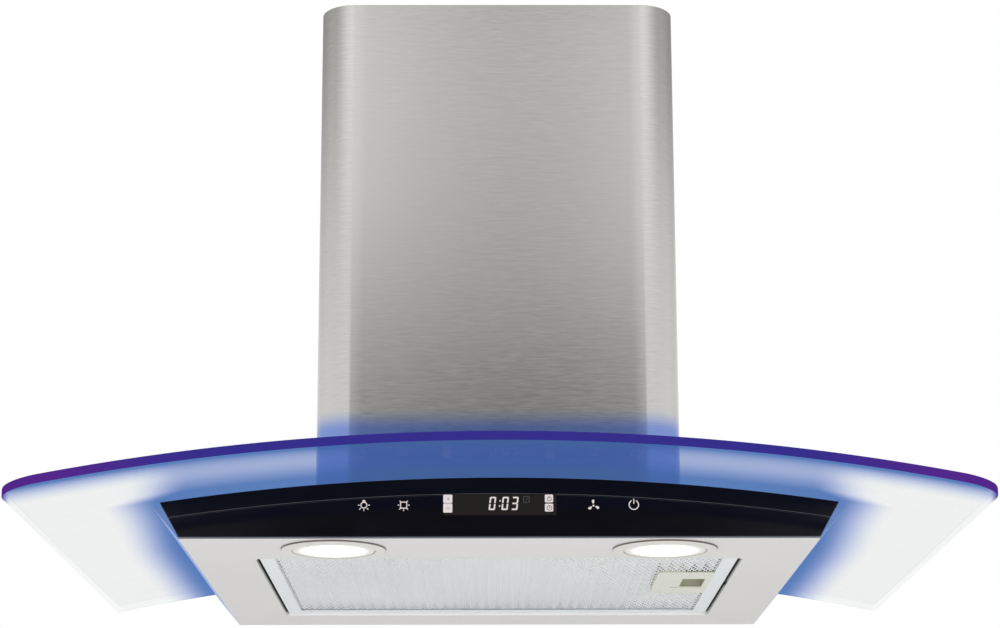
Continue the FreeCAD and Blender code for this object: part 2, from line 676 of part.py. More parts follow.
def display_module():
    """Digit block between the small keys, right behind the black glass."""
    half = min(DISPLAY_WIDTH / 2, KEY_X[1] - PAD_HALF - SEAT_GAP)
    low, high = UNDERSIDE_Z + DISPLAY_LOW, UNDERSIDE_Z + DISPLAY_HIGH
    return box(-half, half, FASCIA_BACK_Y, CARRIER_BACK_Y, low, high)


# ---------------------------------------------------------------- light under the glass
def edge_band(outer_inset, width, low, high):
    """Strip along the front and both sides of the top plate, set in from its edge."""
    half = body_edge(-GASKET_THICK) - outer_inset
    front = FASCIA_BACK_Y + outer_inset
    back = -2 * TOP_FLANGE
    band = arch_prism(-half, half, front, back, low, high)
    return band.cut(box(-half + width, half - width, front + width, 0, UNDERSIDE_Z, ABOVE_Z))


def light_guide():
    return edge_band(SEAT_GAP, GUIDE_WIDTH, Arch(SNUG_GAP - GASKET_THICK), Arch(-SNUG_GAP))


def led_strip():
    inset = SEAT_GAP + GUIDE_WIDTH + TAPE_GAP
    return edge_band(inset, TAPE_WIDTH, Arch(SNUG_GAP - GASKET_THICK), Arch(TAPE_THICK - GASKET_THICK))


# ---------------------------------------------------------------- lamps
def lamp_bezel(side):
    centre = V(side * LAMP_X, LAMP_Y, UNDERSIDE_Z)
    tube = LAMP_HOLE - SEAT_GAP
    return turned([(BEZEL_BORE, -BEZEL_PROUD / 2), (BEZEL_RADIUS - BEZEL_ROUND, -BEZEL_PROUD),
                   (BEZEL_RADIUS, 0), (tube, 0), (tube, BEZEL_TUBE), (BEZEL_BORE, BEZEL_TUBE)], centre)


def lamp_lens(side):
    centre = V(side * LAMP_X, LAMP_Y, UNDERSIDE_Z)
    rim = BEZEL_BORE - SEAT_GAP
    return turned([(0, -LENS_PROUD), (LENS_LIT_RADIUS, -LENS_PROUD),
                   (LENS_LIT_RADIUS + LENS_PROUD, LENS_PROUD), (rim, LENS_PROUD),
                   (rim, LENS_THICK), (0, LENS_THICK)], centre)


def lamp_can(side):
    """Heat sink with upright fins; its rim stands on the lens inside the bezel."""
    low = UNDERSIDE_Z + LENS_THICK
    foot = upright_hole(side * LAMP_X, LAMP_Y, BEZEL_BORE - SEAT_GAP, low, UNDERSIDE_Z + BEZEL_TUBE)
    pitch = 2 * math.pi / CAN_FINS
    outline = []
    for fin in range(CAN_FINS):
        for share, radius in ((0.0, CAN_RADIUS), (0.3, CAN_RADIUS),
                              (0.4, CAN_RADIUS - FIN_DEEP), (0.9, CAN_RADIUS - FIN_DEEP)):
            turn = (fin + share) * pitch
            outline.append(V(side * LAMP_X + radius * math.cos(turn), LAMP_Y + radius * math.sin(turn),
                             UNDERSIDE_Z + BEZEL_TUBE))
    fins = polygon_face(outline).extrude(V(0, 0, CAN_HIGH + LENS_THICK - BEZEL_TUBE))
    return foot.fuse(fins)


def lamp_clips():
    """Sprung strips from the top fin of each lamp down on to the panel."""
    clips = []
    top = UNDERSIDE_Z + LENS_THICK + CAN_HIGH + SNUG_GAP
    foot = PANEL_TOP_Z + SEAT_GAP
    knee, toe = CAN_RADIUS + 2, SPRING_REACH - SPRING_TOE
    thick = SPRING_THICK
    for side in (-1, 1):
        for way in (-1, 1):
            outline = [(SPRING_ROOT, top), (knee, top), (toe, foot), (SPRING_REACH, foot),
                       (SPRING_REACH, foot + thick), (toe + thick, foot + thick),
                       (knee + thick, top + thick), (SPRING_ROOT, top + thick)]
            points = [(side * LAMP_X + way * r, z) for r, z in outline]
            clips.append(prism_xz(points, LAMP_Y - SPRING_WIDTH / 2, LAMP_Y + SPRING_WIDTH / 2))
    return group(clips)


# ---------------------------------------------------------------- grease filter
def filter_block(inset, z0, z1):
    half = FILTER_HALF - inset
    return box(-half, half, FILTER_FRONT_Y + inset, FILTER_BACK_Y - inset, z0, z1)


def filter_frame():
    """Channel frame: outer wall with a lower and an upper margin turned inwards."""
    outer = round_upright(filter_block(0, FILTER_LOW_Z, FILTER_HIGH_Z), PANEL_CORNER - FILTER_GAP / 2)
    room = filter_block(FRAME_WALL, FILTER_LOW_Z + FRAME_WALL, FILTER_HIGH_Z - FRAME_WALL)
    window = filter_block(FRAME_MARGIN, FILTER_LOW_Z - 1, FILTER_HIGH_Z + 1)
    frame = outer.cut(room).cut(window)
    slot_half = BOLT_WIDTH / 2 + SEAT_GAP
    frame = frame.cut(box(FILTER_HALF - FRAME_MARGIN + SEAT_GAP, FILTER_HALF + 1,
                          CUP_CENTRE_Y - slot_half, CUP_CENTRE_Y + slot_half,
                          SLIDER_LOW_Z - SEAT_GAP, SLIDER_LOW_Z + BOLT_THICK + SEAT_GAP))
    bore_start = V(HINGE_X, FILTER_FRONT_Y - 1, HINGE_Z)
    return frame.cut(rod(V(0, 1, 0), PIN_RADIUS + SNUG_GAP, bore_start, FILTER_DEPTH + 2))


def latch_space(grow):
    return box(LATCH_LEFT - grow, FILTER_HALF, LATCH_CENTRE_Y - LATCH_LENGTH / 2 - grow,
               LATCH_CENTRE_Y + LATCH_LENGTH / 2 + grow, UNDERSIDE_Z, FILTER_HIGH_Z - FRAME_WALL)


def filter_layer(z0, z1, with_latch=True):
    """Flat layer of the filter, with room for the latch and the pin heads."""
    layer = filter_block(FRAME_WALL + SEAT_GAP, z0, z1)
    if with_latch:
        layer = layer.cut(latch_space(SEAT_GAP))
    for y in (FILTER_FRONT_Y, FILTER_BACK_Y):
        layer = layer.cut(box(HINGE_X - PIN_ROOM, HINGE_X + PIN_ROOM, y - PIN_ROOM, y + PIN_ROOM, z0, z1))
    return layer


def layer_heights():
    low = FILTER_LOW_Z + FRAME_WALL + SNUG_GAP
    high = FILTER_HIGH_Z - FRAME_WALL - SNUG_GAP
    return low, low + MESH_THICK, high - MESH_THICK, high


def filter_mesh_lower():
    low, top, _, _ = layer_heights()
    return filter_layer(low, top)


def filter_core():
    """Middle layer of foil folded into long waves from front to back."""
    _, low, high, _ = layer_heights()
    low, high = low + SNUG_GAP, high - SNUG_GAP
    half = FILTER_HALF - FRAME_WALL - SEAT_GAP
    count = int(2 * half / FOIL_PITCH)
    lean = FOIL_THICK * math.hypot(1, 2 * (high - low) / FOIL_PITCH)
    under, over = [], []
    for fold in range(2 * count + 1):
        x = -count * FOIL_PITCH / 2 + fold * FOIL_PITCH / 2
        under.append((x, high - lean if fold % 2 else low))
        over.append((x, high if fold % 2 else low + lean))
    foil = prism_xz(under + over[::-1], FILTER_FRONT_Y + FRAME_WALL + SEAT_GAP,
                    FILTER_BACK_Y - FRAME_WALL - SEAT_GAP)
    return foil.common(filter_layer(low - 1, high + 1))


def filter_mesh_upper():
    _, _, low, high = layer_heights()
    return filter_layer(low, high, False)


def filter_pins():
    """Two headed pins on the left side of the frame, one at each end."""
    pins = []
    reach = FILTER_GAP + SHEET
    for wall_y, way in ((FILTER_FRONT_Y, -1), (FILTER_BACK_Y, 1)):
        axis = V(0, way, 0)
        inner = wall_y - way * (FRAME_WALL + SNUG_GAP)
        pin = rod(axis, PIN_RADIUS, V(HINGE_X, inner, HINGE_Z), reach + FRAME_WALL)
        head = rod(axis, PIN_HEAD, V(HINGE_X, inner - way * PIN_HEAD_THICK, HINGE_Z), PIN_HEAD_THICK)
        pins.append(pin.fuse(head))
    return group(pins)


# ---------------------------------------------------------------- filter latch
def filter_latch_plate():
    """Ivory moulding with a window for the finger cup and stops for the slider."""
    y0 = LATCH_CENTRE_Y - LATCH_LENGTH / 2
    y1 = LATCH_CENTRE_Y + LATCH_LENGTH / 2
    top = FILTER_HIGH_Z - FRAME_WALL - MESH_THICK - 4 * SNUG_GAP
    block = box(LATCH_LEFT, LATCH_RIGHT, y0, y1, FILTER_LOW_Z, top)
    block = round_upright(block, LATCH_CORNER, lambda x, y: x < LATCH_LEFT + 1)
    slide_half = CUP_LENGTH / 2 + CUP_WALL + SEAT_GAP
    room = box(LATCH_LEFT + 2 * LATCH_WALL, LATCH_RIGHT + 1, CUP_CENTRE_Y - slide_half,
               CUP_CENTRE_Y + slide_half, SLIDER_LOW_Z - SEAT_GAP, top + 1)
    block = block.cut(room)
    stop = CUP_LEFT - CUP_WALL - SLIDER_TRAVEL - SEAT_GAP
    stop_half = CUP_LENGTH / 2 - SPRING_SHORT + SHEET
    for side in (-1, 1):
        y_in, y_out = CUP_CENTRE_Y + side * stop_half, CUP_CENTRE_Y + side * slide_half
        block = block.fuse(box(LATCH_LEFT + LATCH_WALL, stop, min(y_in, y_out), max(y_in, y_out),
                               FILTER_LOW_Z, top))
    window = box(CUP_LEFT, CUP_RIGHT, CUP_CENTRE_Y - CUP_LENGTH / 2, CUP_CENTRE_Y + CUP_LENGTH / 2,
                 UNDERSIDE_Z, top)
    cup_back = CUP_CENTRE_Y + CUP_LENGTH / 2
    slit = box(CUP_LEFT - SLIT_WIDTH, CUP_LEFT + 1, cup_back - SLIT_LONG, cup_back,
               UNDERSIDE_Z, SLIDER_LOW_Z)
    for end in (y0 + POCKET_INSET, y1 - POCKET_INSET - POCKET_LONG):
        block = block.cut(box(LATCH_LEFT + POCKET_INSET, LATCH_RIGHT - POCKET_INSET, end, end + POCKET_LONG,
                              SLIDER_LOW_Z, top + 1))
    return block.cut(window).cut(slit)


def filter_latch_slider():
    """Finger cup, open downwards, with the bolt on its right-hand side."""
    half = CUP_LENGTH / 2 + CUP_WALL
    high = SLIDER_LOW_Z + CUP_DEEP + CUP_WALL
    cup = box(CUP_LEFT - CUP_WALL, CUP_RIGHT + CUP_WALL, CUP_CENTRE_Y - half, CUP_CENTRE_Y + half,
              SLIDER_LOW_Z, high)
    cup = cup.cut(box(CUP_LEFT, CUP_RIGHT, CUP_CENTRE_Y - CUP_LENGTH / 2, CUP_CENTRE_Y + CUP_LENGTH / 2,
                      SLIDER_LOW_Z - 1, high - CUP_WALL))
    bolt = box(CUP_RIGHT + CUP_WALL / 2, BOLT_END, CUP_CENTRE_Y - BOLT_WIDTH / 2,
               CUP_CENTRE_Y + BOLT_WIDTH / 2, SLIDER_LOW_Z, SLIDER_LOW_Z + BOLT_THICK)
    return cup.fuse(bolt).removeSplitter()


def filter_latch_spring():
    """Bowed strip between the left wall of the latch plate and the cup."""
    left = LATCH_LEFT + 2 * LATCH_WALL + SEAT_GAP
    right = CUP_LEFT - CUP_WALL - SEAT_GAP
    half = CUP_LENGTH / 2 - SPRING_SHORT
    z0, z1 = SLIDER_LOW_Z + SEAT_GAP, SLIDER_LOW_Z + CUP_DEEP
    faces = []
    for push in (0, SPRING_STRIP):
        start = V(left + push, CUP_CENTRE_Y - half, z0)
        middle = V(right - SPRING_STRIP + push, CUP_CENTRE_Y, z0)
        end = V(left + push, CUP_CENTRE_Y + half, z0)
        faces.append((Part.Arc(start, middle, end).toShape(), start, end))
    (near, a0, a1), (far, b0, b1) = faces
    wire = Part.Wire(Part.__sortEdges__([near, Part.makeLine(a1, b1), far, Part.makeLine(b0, a0)]))
    return Part.Face(wire).extrude(V(0, 0, z1 - z0))


def latch_striker():
    """Small step beside the opening that the bolt rests on."""
    left = OPENING_HALF + SHEET + 2 * SNUG_GAP
    high = SLIDER_LOW_Z - SEAT_GAP
    return box(left, left + STRIKER_WIDTH, CUP_CENTRE_Y - STRIKER_LENGTH / 2,
               CUP_CENTRE_Y + STRIKER_LENGTH / 2, PANEL_TOP_Z, high)


# ---------------------------------------------------------------- blower box
def air_window(z0, z1):
    """Way for the air from the body up into the blower box."""
    half = BLOWER_HALF - BLOWER_RIM
    return box(-half, half, BLOWER_FRONT_Y + BLOWER_RIM, -BLOWER_RIM, z0, z1)


def box_screw_places():
    x = BLOWER_HALF - BLOWER_RIM / 2
    front = BLOWER_FRONT_Y + BLOWER_RIM / 2
    return [(side * x, y) for side in (-1, 1) for y in (front, -BLOWER_RIM)]


def blower_box():
    """Folded steel box: front, sides and top, with rims turned in at foot and back."""
    back = -BACK_PLATE_THICK
    base = Arch(-GASKET_THICK)
    outer = arch_prism(-BLOWER_HALF, BLOWER_HALF, BLOWER_FRONT_Y, back, base, BLOWER_TOP_Z)
    inner = arch_prism(-BLOWER_HALF + SHEET, BLOWER_HALF - SHEET, BLOWER_FRONT_Y + SHEET, back - SHEET,
                       Arch(SHEET - GASKET_THICK), BLOWER_TOP_Z - SHEET)
    shell = outer.cut(inner).cut(air_window(UNDERSIDE_Z, 0))
    half = BLOWER_HALF - BLOWER_RIM
    low = UNDERSIDE_Z + GLASS_CROWN + BLOWER_RIM
    shell = shell.cut(box(-half, half, back - 2 * SHEET, 1, low, BLOWER_TOP_Z - BLOWER_RIM))
    u0, u1 = neck_limits(0)
    shell = shell.cut(box(-SCROLL_HALF, SCROLL_HALF, FAN_Y - u1, FAN_Y - u0, 0, BLOWER_TOP_Z + 1))
    shell = shell.cut(upright_hole(GLAND_X, GLAND_Y, GLAND_RADIUS + SNUG_GAP, 0, BLOWER_TOP_Z + 1))
    for x, y in box_screw_places():
        shell = shell.cut(upright_hole(x, y, BOX_SCREW_RADIUS + SNUG_GAP, UNDERSIDE_Z, low))
    return shell.cut(cable_way())


def cable_way():
    """Hole through the front of the blower box and the back of the control box."""
    middle = CONTROL_LOW_Z + CONTROL_HIGH / 2
    start = V(0, BLOWER_FRONT_Y - CONTROL_WALL - 1, middle)
    return rod(V(0, 1, 0), CABLE_HOLE, start, CONTROL_WALL + SHEET + 2)


def blower_back_plate():
    """Wall plate with two fixing holes and two keyholes to hang it by."""
    back = -BACK_PLATE_THICK
    plate = arch_prism(-BLOWER_HALF, BLOWER_HALF, back, 0, Arch(-GASKET_THICK), BLOWER_TOP_Z)
    slot_end = KEYHOLE_Z + KEYHOLE_SLOT
    for side in (-1, 1):
        x = side * KEYHOLE_X
        for radius, hole_x, z in ((WALL_HOLE_RADIUS, side * WALL_HOLE_X, 0), (KEYHOLE_BIG, x, KEYHOLE_Z),
                                  (WALL_HOLE_RADIUS, x, slot_end)):
            hole = rod(V(0, 1, 0), radius, V(hole_x, back - 1, z), BACK_PLATE_THICK + 2)
            plate = plate.cut(hole)
        slot = box(x - WALL_HOLE_RADIUS, x + WALL_HOLE_RADIUS, back - 1, 1, KEYHOLE_Z, slot_end)
        plate = plate.cut(slot)
    return plate


def box_screws():
    """Pan screws that hold the blower box down on the top plate."""
    screws = []
    for x, y in box_screw_places():
        seat = Arch(SHEET - GASKET_THICK).z(abs(x) - BOX_SCREW_HEAD) + SNUG_GAP
        low = Arch(-STACK - SHEET).z(abs(x)) - THREAD_SPARE
        screws.append(turned([(0, low - seat), (BOX_SCREW_RADIUS, low - seat), (BOX_SCREW_RADIUS, 0),
                              (BOX_SCREW_HEAD, 0), (BOX_SCREW_HEAD, BOX_SCREW_HIGH), (0, BOX_SCREW_HIGH)],
                             V(x, y, seat)))
    return group(screws)


# ---------------------------------------------------------------- scroll housing
def scroll_radius(angle, grow):
    turn = (angle - TONGUE_ANGLE) / (FULL_TURN - TONGUE_ANGLE)
    return SCROLL_START * (SCROLL_END / SCROLL_START) ** turn + grow


def scroll_point(angle, grow, x):
    """Point of the spiral; angle 0 faces the front, 90 is up."""
    radius = scroll_radius(angle, grow)
    turn = math.radians(angle)
    return V(x, FAN_Y - radius * math.cos(turn), FAN_Z + radius * math.sin(turn))


def scroll_face(grow, top, x):
    """Outline of the volute: a growing spiral that runs into an upright neck."""
    start = TONGUE_ANGLE + math.degrees(math.asin(grow / (SCROLL_START + grow)))
    steps = int(round((FULL_TURN - TONGUE_ANGLE) / SCROLL_STEP))
    marks = [start + (FULL_TURN - start) * i / steps for i in range(steps + 1)]
    edges = []
    for first, last in zip(marks, marks[1:]):
        points = [scroll_point(a, grow, x) for a in (first, (first + last) / 2, last)]
        edges.append(Part.Arc(*points).toShape())
    tongue = scroll_point(marks[0], grow, x)
    front = scroll_point(FULL_TURN, grow, x)
    corners = [front, V(x, front.y, top), V(x, tongue.y, top), tongue]
    for first, last in zip(corners, corners[1:]):
        edges.append(Part.makeLine(first, last))
    return Part.Face(Part.Wire(edges))


def neck_limits(grow):
    """Distances of the neck's two walls in front of the fan axis."""
    start = TONGUE_ANGLE + math.degrees(math.asin(grow / (SCROLL_START + grow)))
    back = -scroll_point(start, grow, 0).y + FAN_Y
    return back, SCROLL_END + grow


def scroll_housing(side):
    """Half of the volute with its inlet mouth; side is -1 for left, 1 for right."""
    top = BLOWER_TOP_Z - SHEET
    outer = scroll_face(SCROLL_WALL, top, 0).extrude(V(side * (SCROLL_HALF + SCROLL_WALL), 0, 0))
    inner = scroll_face(0, top + 1, 0).extrude(V(side * SCROLL_HALF, 0, 0))
    axis = V(side, 0, 0)
    wall = V(side * SCROLL_HALF, FAN_Y, FAN_Z)
    half = outer.cut(inner)
    half = half.fuse(rod(axis, INLET_RADIUS + 2 * SCROLL_WALL, wall, SCROLL_WALL + INLET_LIP / 2))
    mouth = Part.makeCone(INLET_RADIUS, INLET_RADIUS + 1.4 * SCROLL_WALL, INLET_LIP,
                          wall - axis * SCROLL_WALL, axis)
    half = half.cut(mouth).cut(rod(axis, INLET_RADIUS, wall - axis, INLET_LIP))
    back, front = neck_limits(SCROLL_WALL)
    reach = SCROLL_HALF + SCROLL_WALL + SCROLL_FLANGE
    x0, x1 = sorted((0.0, side * reach))
    flange = box(x0, x1, max(FAN_Y - front - SCROLL_FLANGE, BLOWER_FRONT_Y + SHEET + SEAT_GAP),
                 FAN_Y - back + SCROLL_FLANGE, top - SCROLL_WALL, top)
    return half.fuse(flange).cut(inner).removeSplitter()


# ---------------------------------------------------------------- impeller and motor
def wheel_point(radius, degrees, x):
    turn = math.radians(degrees)
    return V(x, FAN_Y - radius * math.cos(turn), FAN_Z + radius * math.sin(turn))


def blade(turn):
    """One forward-curved blade: a bent strip as long as the wheel is wide."""
    x = -WHEEL_HALF + RING_THICK / 2
    thick = math.degrees(BLADE_THICK / WHEEL_BORE)
    stations = [(WHEEL_BORE + RING_THICK / 2, 0.0), ((WHEEL_BORE + WHEEL_RADIUS) / 2, BLADE_SWEEP / 4),
                (WHEEL_RADIUS - BLADE_THICK, BLADE_SWEEP)]
    near = [wheel_point(radius, turn + lag, x) for radius, lag in stations]
    far = [wheel_point(radius, turn + lag + thick, x) for radius, lag in stations]
    return polygon_face(near + far[::-1]).extrude(V(2 * WHEEL_HALF - RING_THICK, 0, 0))


def wheel_plate(radius, x):
    """Flat plate across the axis with one corner for each blade."""
    turns = [FULL_TURN * i / WHEEL_BLADES for i in range(WHEEL_BLADES)]
    corners = [wheel_point(radius, turn, x) for turn in turns]
    return polygon_face(corners).extrude(V(RING_THICK, 0, 0))


def impeller():
    """Double inlet wheel: centre plate, two end rings and a ring of curved blades."""
    axis = V(1, 0, 0)
    centre = V(0, FAN_Y, FAN_Z)
    pieces = [rod(axis, HUB_RADIUS, centre - V(HUB_HALF, 0, 0), 2 * HUB_HALF)]
    for x in (-WHEEL_HALF, WHEEL_HALF - RING_THICK):
        pieces.append(wheel_plate(WHEEL_RADIUS, x).cut(wheel_plate(WHEEL_BORE, x)))
    pieces += [blade(FULL_TURN * i / WHEEL_BLADES) for i in range(WHEEL_BLADES)]
    wheel = wheel_plate(WHEEL_RADIUS - BLADE_THICK, -RING_THICK / 2).multiFuse(pieces)
    bore_start = centre - V(HUB_HALF + 1, 0, 0)
    return wheel.cut(rod(axis, SHAFT_RADIUS + SNUG_GAP / 2, bore_start, 2 * HUB_HALF + 2))


def motor_shaft():
    start = V(-HUB_HALF, FAN_Y, FAN_Z)
    return rod(V(1, 0, 0), SHAFT_RADIUS, start, MOTOR_END - SHAFT_END + HUB_HALF)


def fan_motor():
    """Capacitor motor: round stack with chamfered end caps, bored for the shaft."""
    half = [(MOTOR_HUB, 0), (MOTOR_HUB, MOTOR_HUB_HIGH), (MOTOR_RADIUS - MOTOR_DOME, MOTOR_HUB_HIGH),
            (MOTOR_RADIUS, MOTOR_DOME)]
    other = [(radius, MOTOR_LENGTH - along) for radius, along in reversed(half)]
    outline = [(0, 0)] + half + other + [(0, MOTOR_LENGTH)]
    points = [V(MOTOR_START + along, FAN_Y, FAN_Z + radius) for radius, along in outline]
    body = polygon_face(points).revolve(V(0, FAN_Y, FAN_Z), V(1, 0, 0), FULL_TURN)
    bore_length = MOTOR_LENGTH - SHAFT_END + SEAT_GAP
    return body.cut(rod(V(1, 0, 0), SHAFT_RADIUS + RUN_GAP, V(MOTOR_START, FAN_Y, FAN_Z), bore_length))


def arm_turns():
    return [30.0 + 120.0 * i for i in range(3)]


def motor_bracket():
    """Clamp ring round the motor with three arms out to the scroll."""
    axis = V(1, 0, 0)
    start = V(ARM_X, FAN_Y, FAN_Z)
    bracket = ring(axis, MOTOR_RADIUS + CLAMP_THICK, MOTOR_RADIUS + SNUG_GAP,
                   start - V(ARM_THICK, 0, 0), 3 * ARM_THICK)
    for turn in arm_turns():
        arm = box(ARM_X, ARM_X + ARM_THICK, -ARM_WIDTH / 2, ARM_WIDTH / 2,
                  MOTOR_RADIUS, ARM_RADIUS + ARM_TIP)
        arm = arm.cut(rod(axis, BOX_SCREW_RADIUS + SNUG_GAP, V(ARM_X - 1, 0, ARM_RADIUS), 2 * ARM_THICK))
        arm.rotate(V(0, 0, 0), axis, turn)
        arm.translate(V(0, FAN_Y, FAN_Z))
        bracket = bracket.fuse(arm)
    return bracket.cut(rod(axis, MOTOR_RADIUS + SNUG_GAP, V(0, FAN_Y, FAN_Z), MOTOR_END))


def at_arms(make):
    """Copies of one solid, made for the top arm, at each arm of the bracket."""
    solids = []
    for turn in arm_turns():
        piece = make()
        piece.rotate(V(0, 0, 0), V(1, 0, 0), turn)
        piece.translate(V(0, FAN_Y, FAN_Z))
        solids.append(piece)
    return group(solids)


def motor_bushes():
    start = V(SCROLL_HALF + SCROLL_WALL, 0, ARM_RADIUS)
    return at_arms(lambda: ring(V(1, 0, 0), BUSH_RADIUS, BOX_SCREW_RADIUS + SNUG_GAP, start, BUSH_HIGH))


def motor_screws():
    def screw():
        start = V(SCROLL_HALF + SCROLL_WALL, 0, ARM_RADIUS)
        shank = rod(V(1, 0, 0), BOX_SCREW_RADIUS, start, BUSH_HIGH + ARM_THICK)
        head = rod(V(1, 0, 0), BOX_SCREW_HEAD, start + V(BUSH_HIGH + ARM_THICK, 0, 0), BOX_SCREW_HIGH)
        return shank.fuse(head)
    return at_arms(screw)


def capacitor():
    start = V(CAPACITOR_X, CAPACITOR_Y, CAPACITOR_Z)
    can = rod(V(0, 0, 1), CAPACITOR_RADIUS, start, CAPACITOR_LENGTH)
    for side in (-1, 1):
        x = side * TAG_SPREAD
        tag = box(x - TAG_WIDTH / 2, x + TAG_WIDTH / 2, -TAG_THICK / 2, TAG_THICK / 2, -TAG_LONG, 0)
        tag.translate(start)
        can = can.fuse(tag)
    return can


def capacitor_clip():
    """Band round the capacitor with a tail on the side wall of the box."""
    low = CAPACITOR_Z + (CAPACITOR_LENGTH - BAND_HIGH) / 2
    high = low + BAND_HIGH
    start = V(CAPACITOR_X, CAPACITOR_Y, low)
    inner = CAPACITOR_RADIUS + SNUG_GAP
    band = ring(V(0, 0, 1), inner + BAND_THICK, inner, start, BAND_HIGH)
    wall = -BLOWER_HALF + SHEET
    tail = box(wall, CAPACITOR_X - inner - BAND_THICK / 2,
               CAPACITOR_Y - BAND_THICK, CAPACITOR_Y + BAND_THICK, low, high)
    foot = box(wall, wall + BAND_THICK, CAPACITOR_Y - BAND_FOOT / 2, CAPACITOR_Y + BAND_FOOT / 2, low, high)
    return band.fuse(tail).fuse(foot)


# ---------------------------------------------------------------- outlet
def funnel(grow, x_half, y0, y1, radius, z0, z1):
    """Rectangle to round, as sheet is folded: four flats and a fan of bends at each corner."""
    out = radius + grow
    count = 4 * FUNNEL_BENDS
    head = []
    for step in range(count):
        turn = 2 * math.pi * step / count
        head.append(V(out * math.cos(turn), SPIGOT_Y + out * math.sin(turn), z1))
    foot = [V(x_half + grow, y1 + grow, z0), V(-x_half - grow, y1 + grow, z0),
            V(-x_half - grow, y0 - grow, z0), V(x_half + grow, y0 - grow, z0)]
    faces = [polygon_face(foot), polygon_face(head)]
    for quarter, corner in enumerate(foot):
        rim = [head[(quarter * FUNNEL_BENDS + bend) % count] for bend in range(FUNNEL_BENDS + 1)]
        for start, end in zip(rim, rim[1:]):
            faces.append(polygon_face([corner, start, end]))
        faces.append(polygon_face([corner, rim[-1], foot[(quarter + 1) % 4]]))
    solid = Part.Solid(Part.Shell(faces))
    return solid if solid.Volume > 0 else solid.reversed()


def outlet_funnel():
    """Sheet funnel from the rectangular outlet of the fan up to a round neck with a rim."""
    up = V(0, 0, 1)
    u0, u1 = neck_limits(0)
    y0, y1 = FAN_Y - u1, FAN_Y - u0
    low, high = BLOWER_TOP_Z, COLLAR_LOW_Z
    bore = NECK_RADIUS - SPIGOT_WALL
    shape = funnel(SPIGOT_WALL, SCROLL_HALF, y0, y1, bore, low, high)
    shape = shape.fuse(box(-SCROLL_HALF - SCROLL_FLANGE, SCROLL_HALF + SCROLL_FLANGE,
                           BLOWER_FRONT_Y, y1 + SCROLL_FLANGE, low, low + SPIGOT_WALL))
    shape = shape.fuse(rod(up, SPIGOT_RADIUS + NECK_RIM, V(0, SPIGOT_Y, high - SPIGOT_WALL), SPIGOT_WALL))
    shape = shape.fuse(rod(up, NECK_RADIUS, V(0, SPIGOT_Y, high), NECK_HIGH))
    shape = shape.cut(funnel(0, SCROLL_HALF, y0, y1, bore, low, high))
    return shape.cut(rod(up, bore, V(0, SPIGOT_Y, high), NECK_HIGH + 1))


def duct_collar():
    """Round collar over the neck of the funnel, with a ledge that the flaps rest on."""
    up = V(0, 0, 1)
    foot = V(0, SPIGOT_Y, COLLAR_LOW_Z)
    collar = ring(up, SPIGOT_RADIUS, COLLAR_BORE, foot, SPIGOT_HIGH)
    ledge_low = FLAP_PIVOT_Z - FLAP_THICK / 2 - SEAT_GAP - SPIGOT_WALL
    ledge = ring(up, COLLAR_BORE + SPIGOT_WALL / 2, COLLAR_BORE - LEDGE_WIDTH,
                 V(0, SPIGOT_Y, ledge_low), SPIGOT_WALL)
    pin_hole = rod(V(1, 0, 0), FLAP_PIN_RADIUS + SNUG_GAP,
                   V(-SPIGOT_RADIUS - 1, SPIGOT_Y, FLAP_PIVOT_Z), 2 * SPIGOT_RADIUS + 2)
    knuckle_room = rod(V(1, 0, 0), KNUCKLE_RADIUS + SEAT_GAP,
                       V(-COLLAR_BORE, SPIGOT_Y, FLAP_PIVOT_Z), 2 * COLLAR_BORE)
    return collar.fuse(ledge).cut(pin_hole).cut(knuckle_room)


def damper_flap(way):
    """Half disc hinged on the pin by two knuckles; way is -1 for the front, 1 for the back."""
    up = V(0, 0, 1)
    edge = KNUCKLE_RADIUS + KNUCKLE_GAP
    low = FLAP_PIVOT_Z - FLAP_THICK / 2
    plate = rod(up, FLAP_RADIUS, V(0, SPIGOT_Y, low), FLAP_THICK)
    keep = box(-SPIGOT_RADIUS, SPIGOT_RADIUS, edge, SPIGOT_RADIUS, low - 1, low + FLAP_THICK + 1)
    if way < 0:
        keep = box(-SPIGOT_RADIUS, SPIGOT_RADIUS, -SPIGOT_RADIUS, -edge, low - 1, low + FLAP_THICK + 1)
    keep.translate(V(0, SPIGOT_Y, 0))
    flap = plate.common(keep)
    for side in (-1, 1):
        middle = side * FLAP_RADIUS / 2 + way * (KNUCKLE_LENGTH / 2 + KNUCKLE_GAP)
        x0, x1 = middle - KNUCKLE_LENGTH / 2, middle + KNUCKLE_LENGTH / 2
        flap = flap.fuse(rod(V(1, 0, 0), KNUCKLE_RADIUS, V(x0, SPIGOT_Y, FLAP_PIVOT_Z), KNUCKLE_LENGTH))
        y0, y1 = sorted((SPIGOT_Y, SPIGOT_Y + way * (edge + 1)))
        flap = flap.fuse(box(x0, x1, y0, y1, low, low + FLAP_THICK))
    return flap.cut(rod(V(1, 0, 0), FLAP_PIN_RADIUS + RUN_GAP,
                        V(-SPIGOT_RADIUS, SPIGOT_Y, FLAP_PIVOT_Z), 2 * SPIGOT_RADIUS))


def damper_pin():
    length = 2 * (SPIGOT_RADIUS - SNUG_GAP)
    return rod(V(1, 0, 0), FLAP_PIN_RADIUS, V(-length / 2, SPIGOT_Y, FLAP_PIVOT_Z), length)


# ---------------------------------------------------------------- electrics
def control_limits(inset):
    half = CONTROL_WIDTH / 2 - inset
    return (-half, half, BLOWER_FRONT_Y - CONTROL_DEPTH + inset, BLOWER_FRONT_Y - inset,
            CONTROL_LOW_Z + inset, CONTROL_LOW_Z + CONTROL_HIGH - inset)


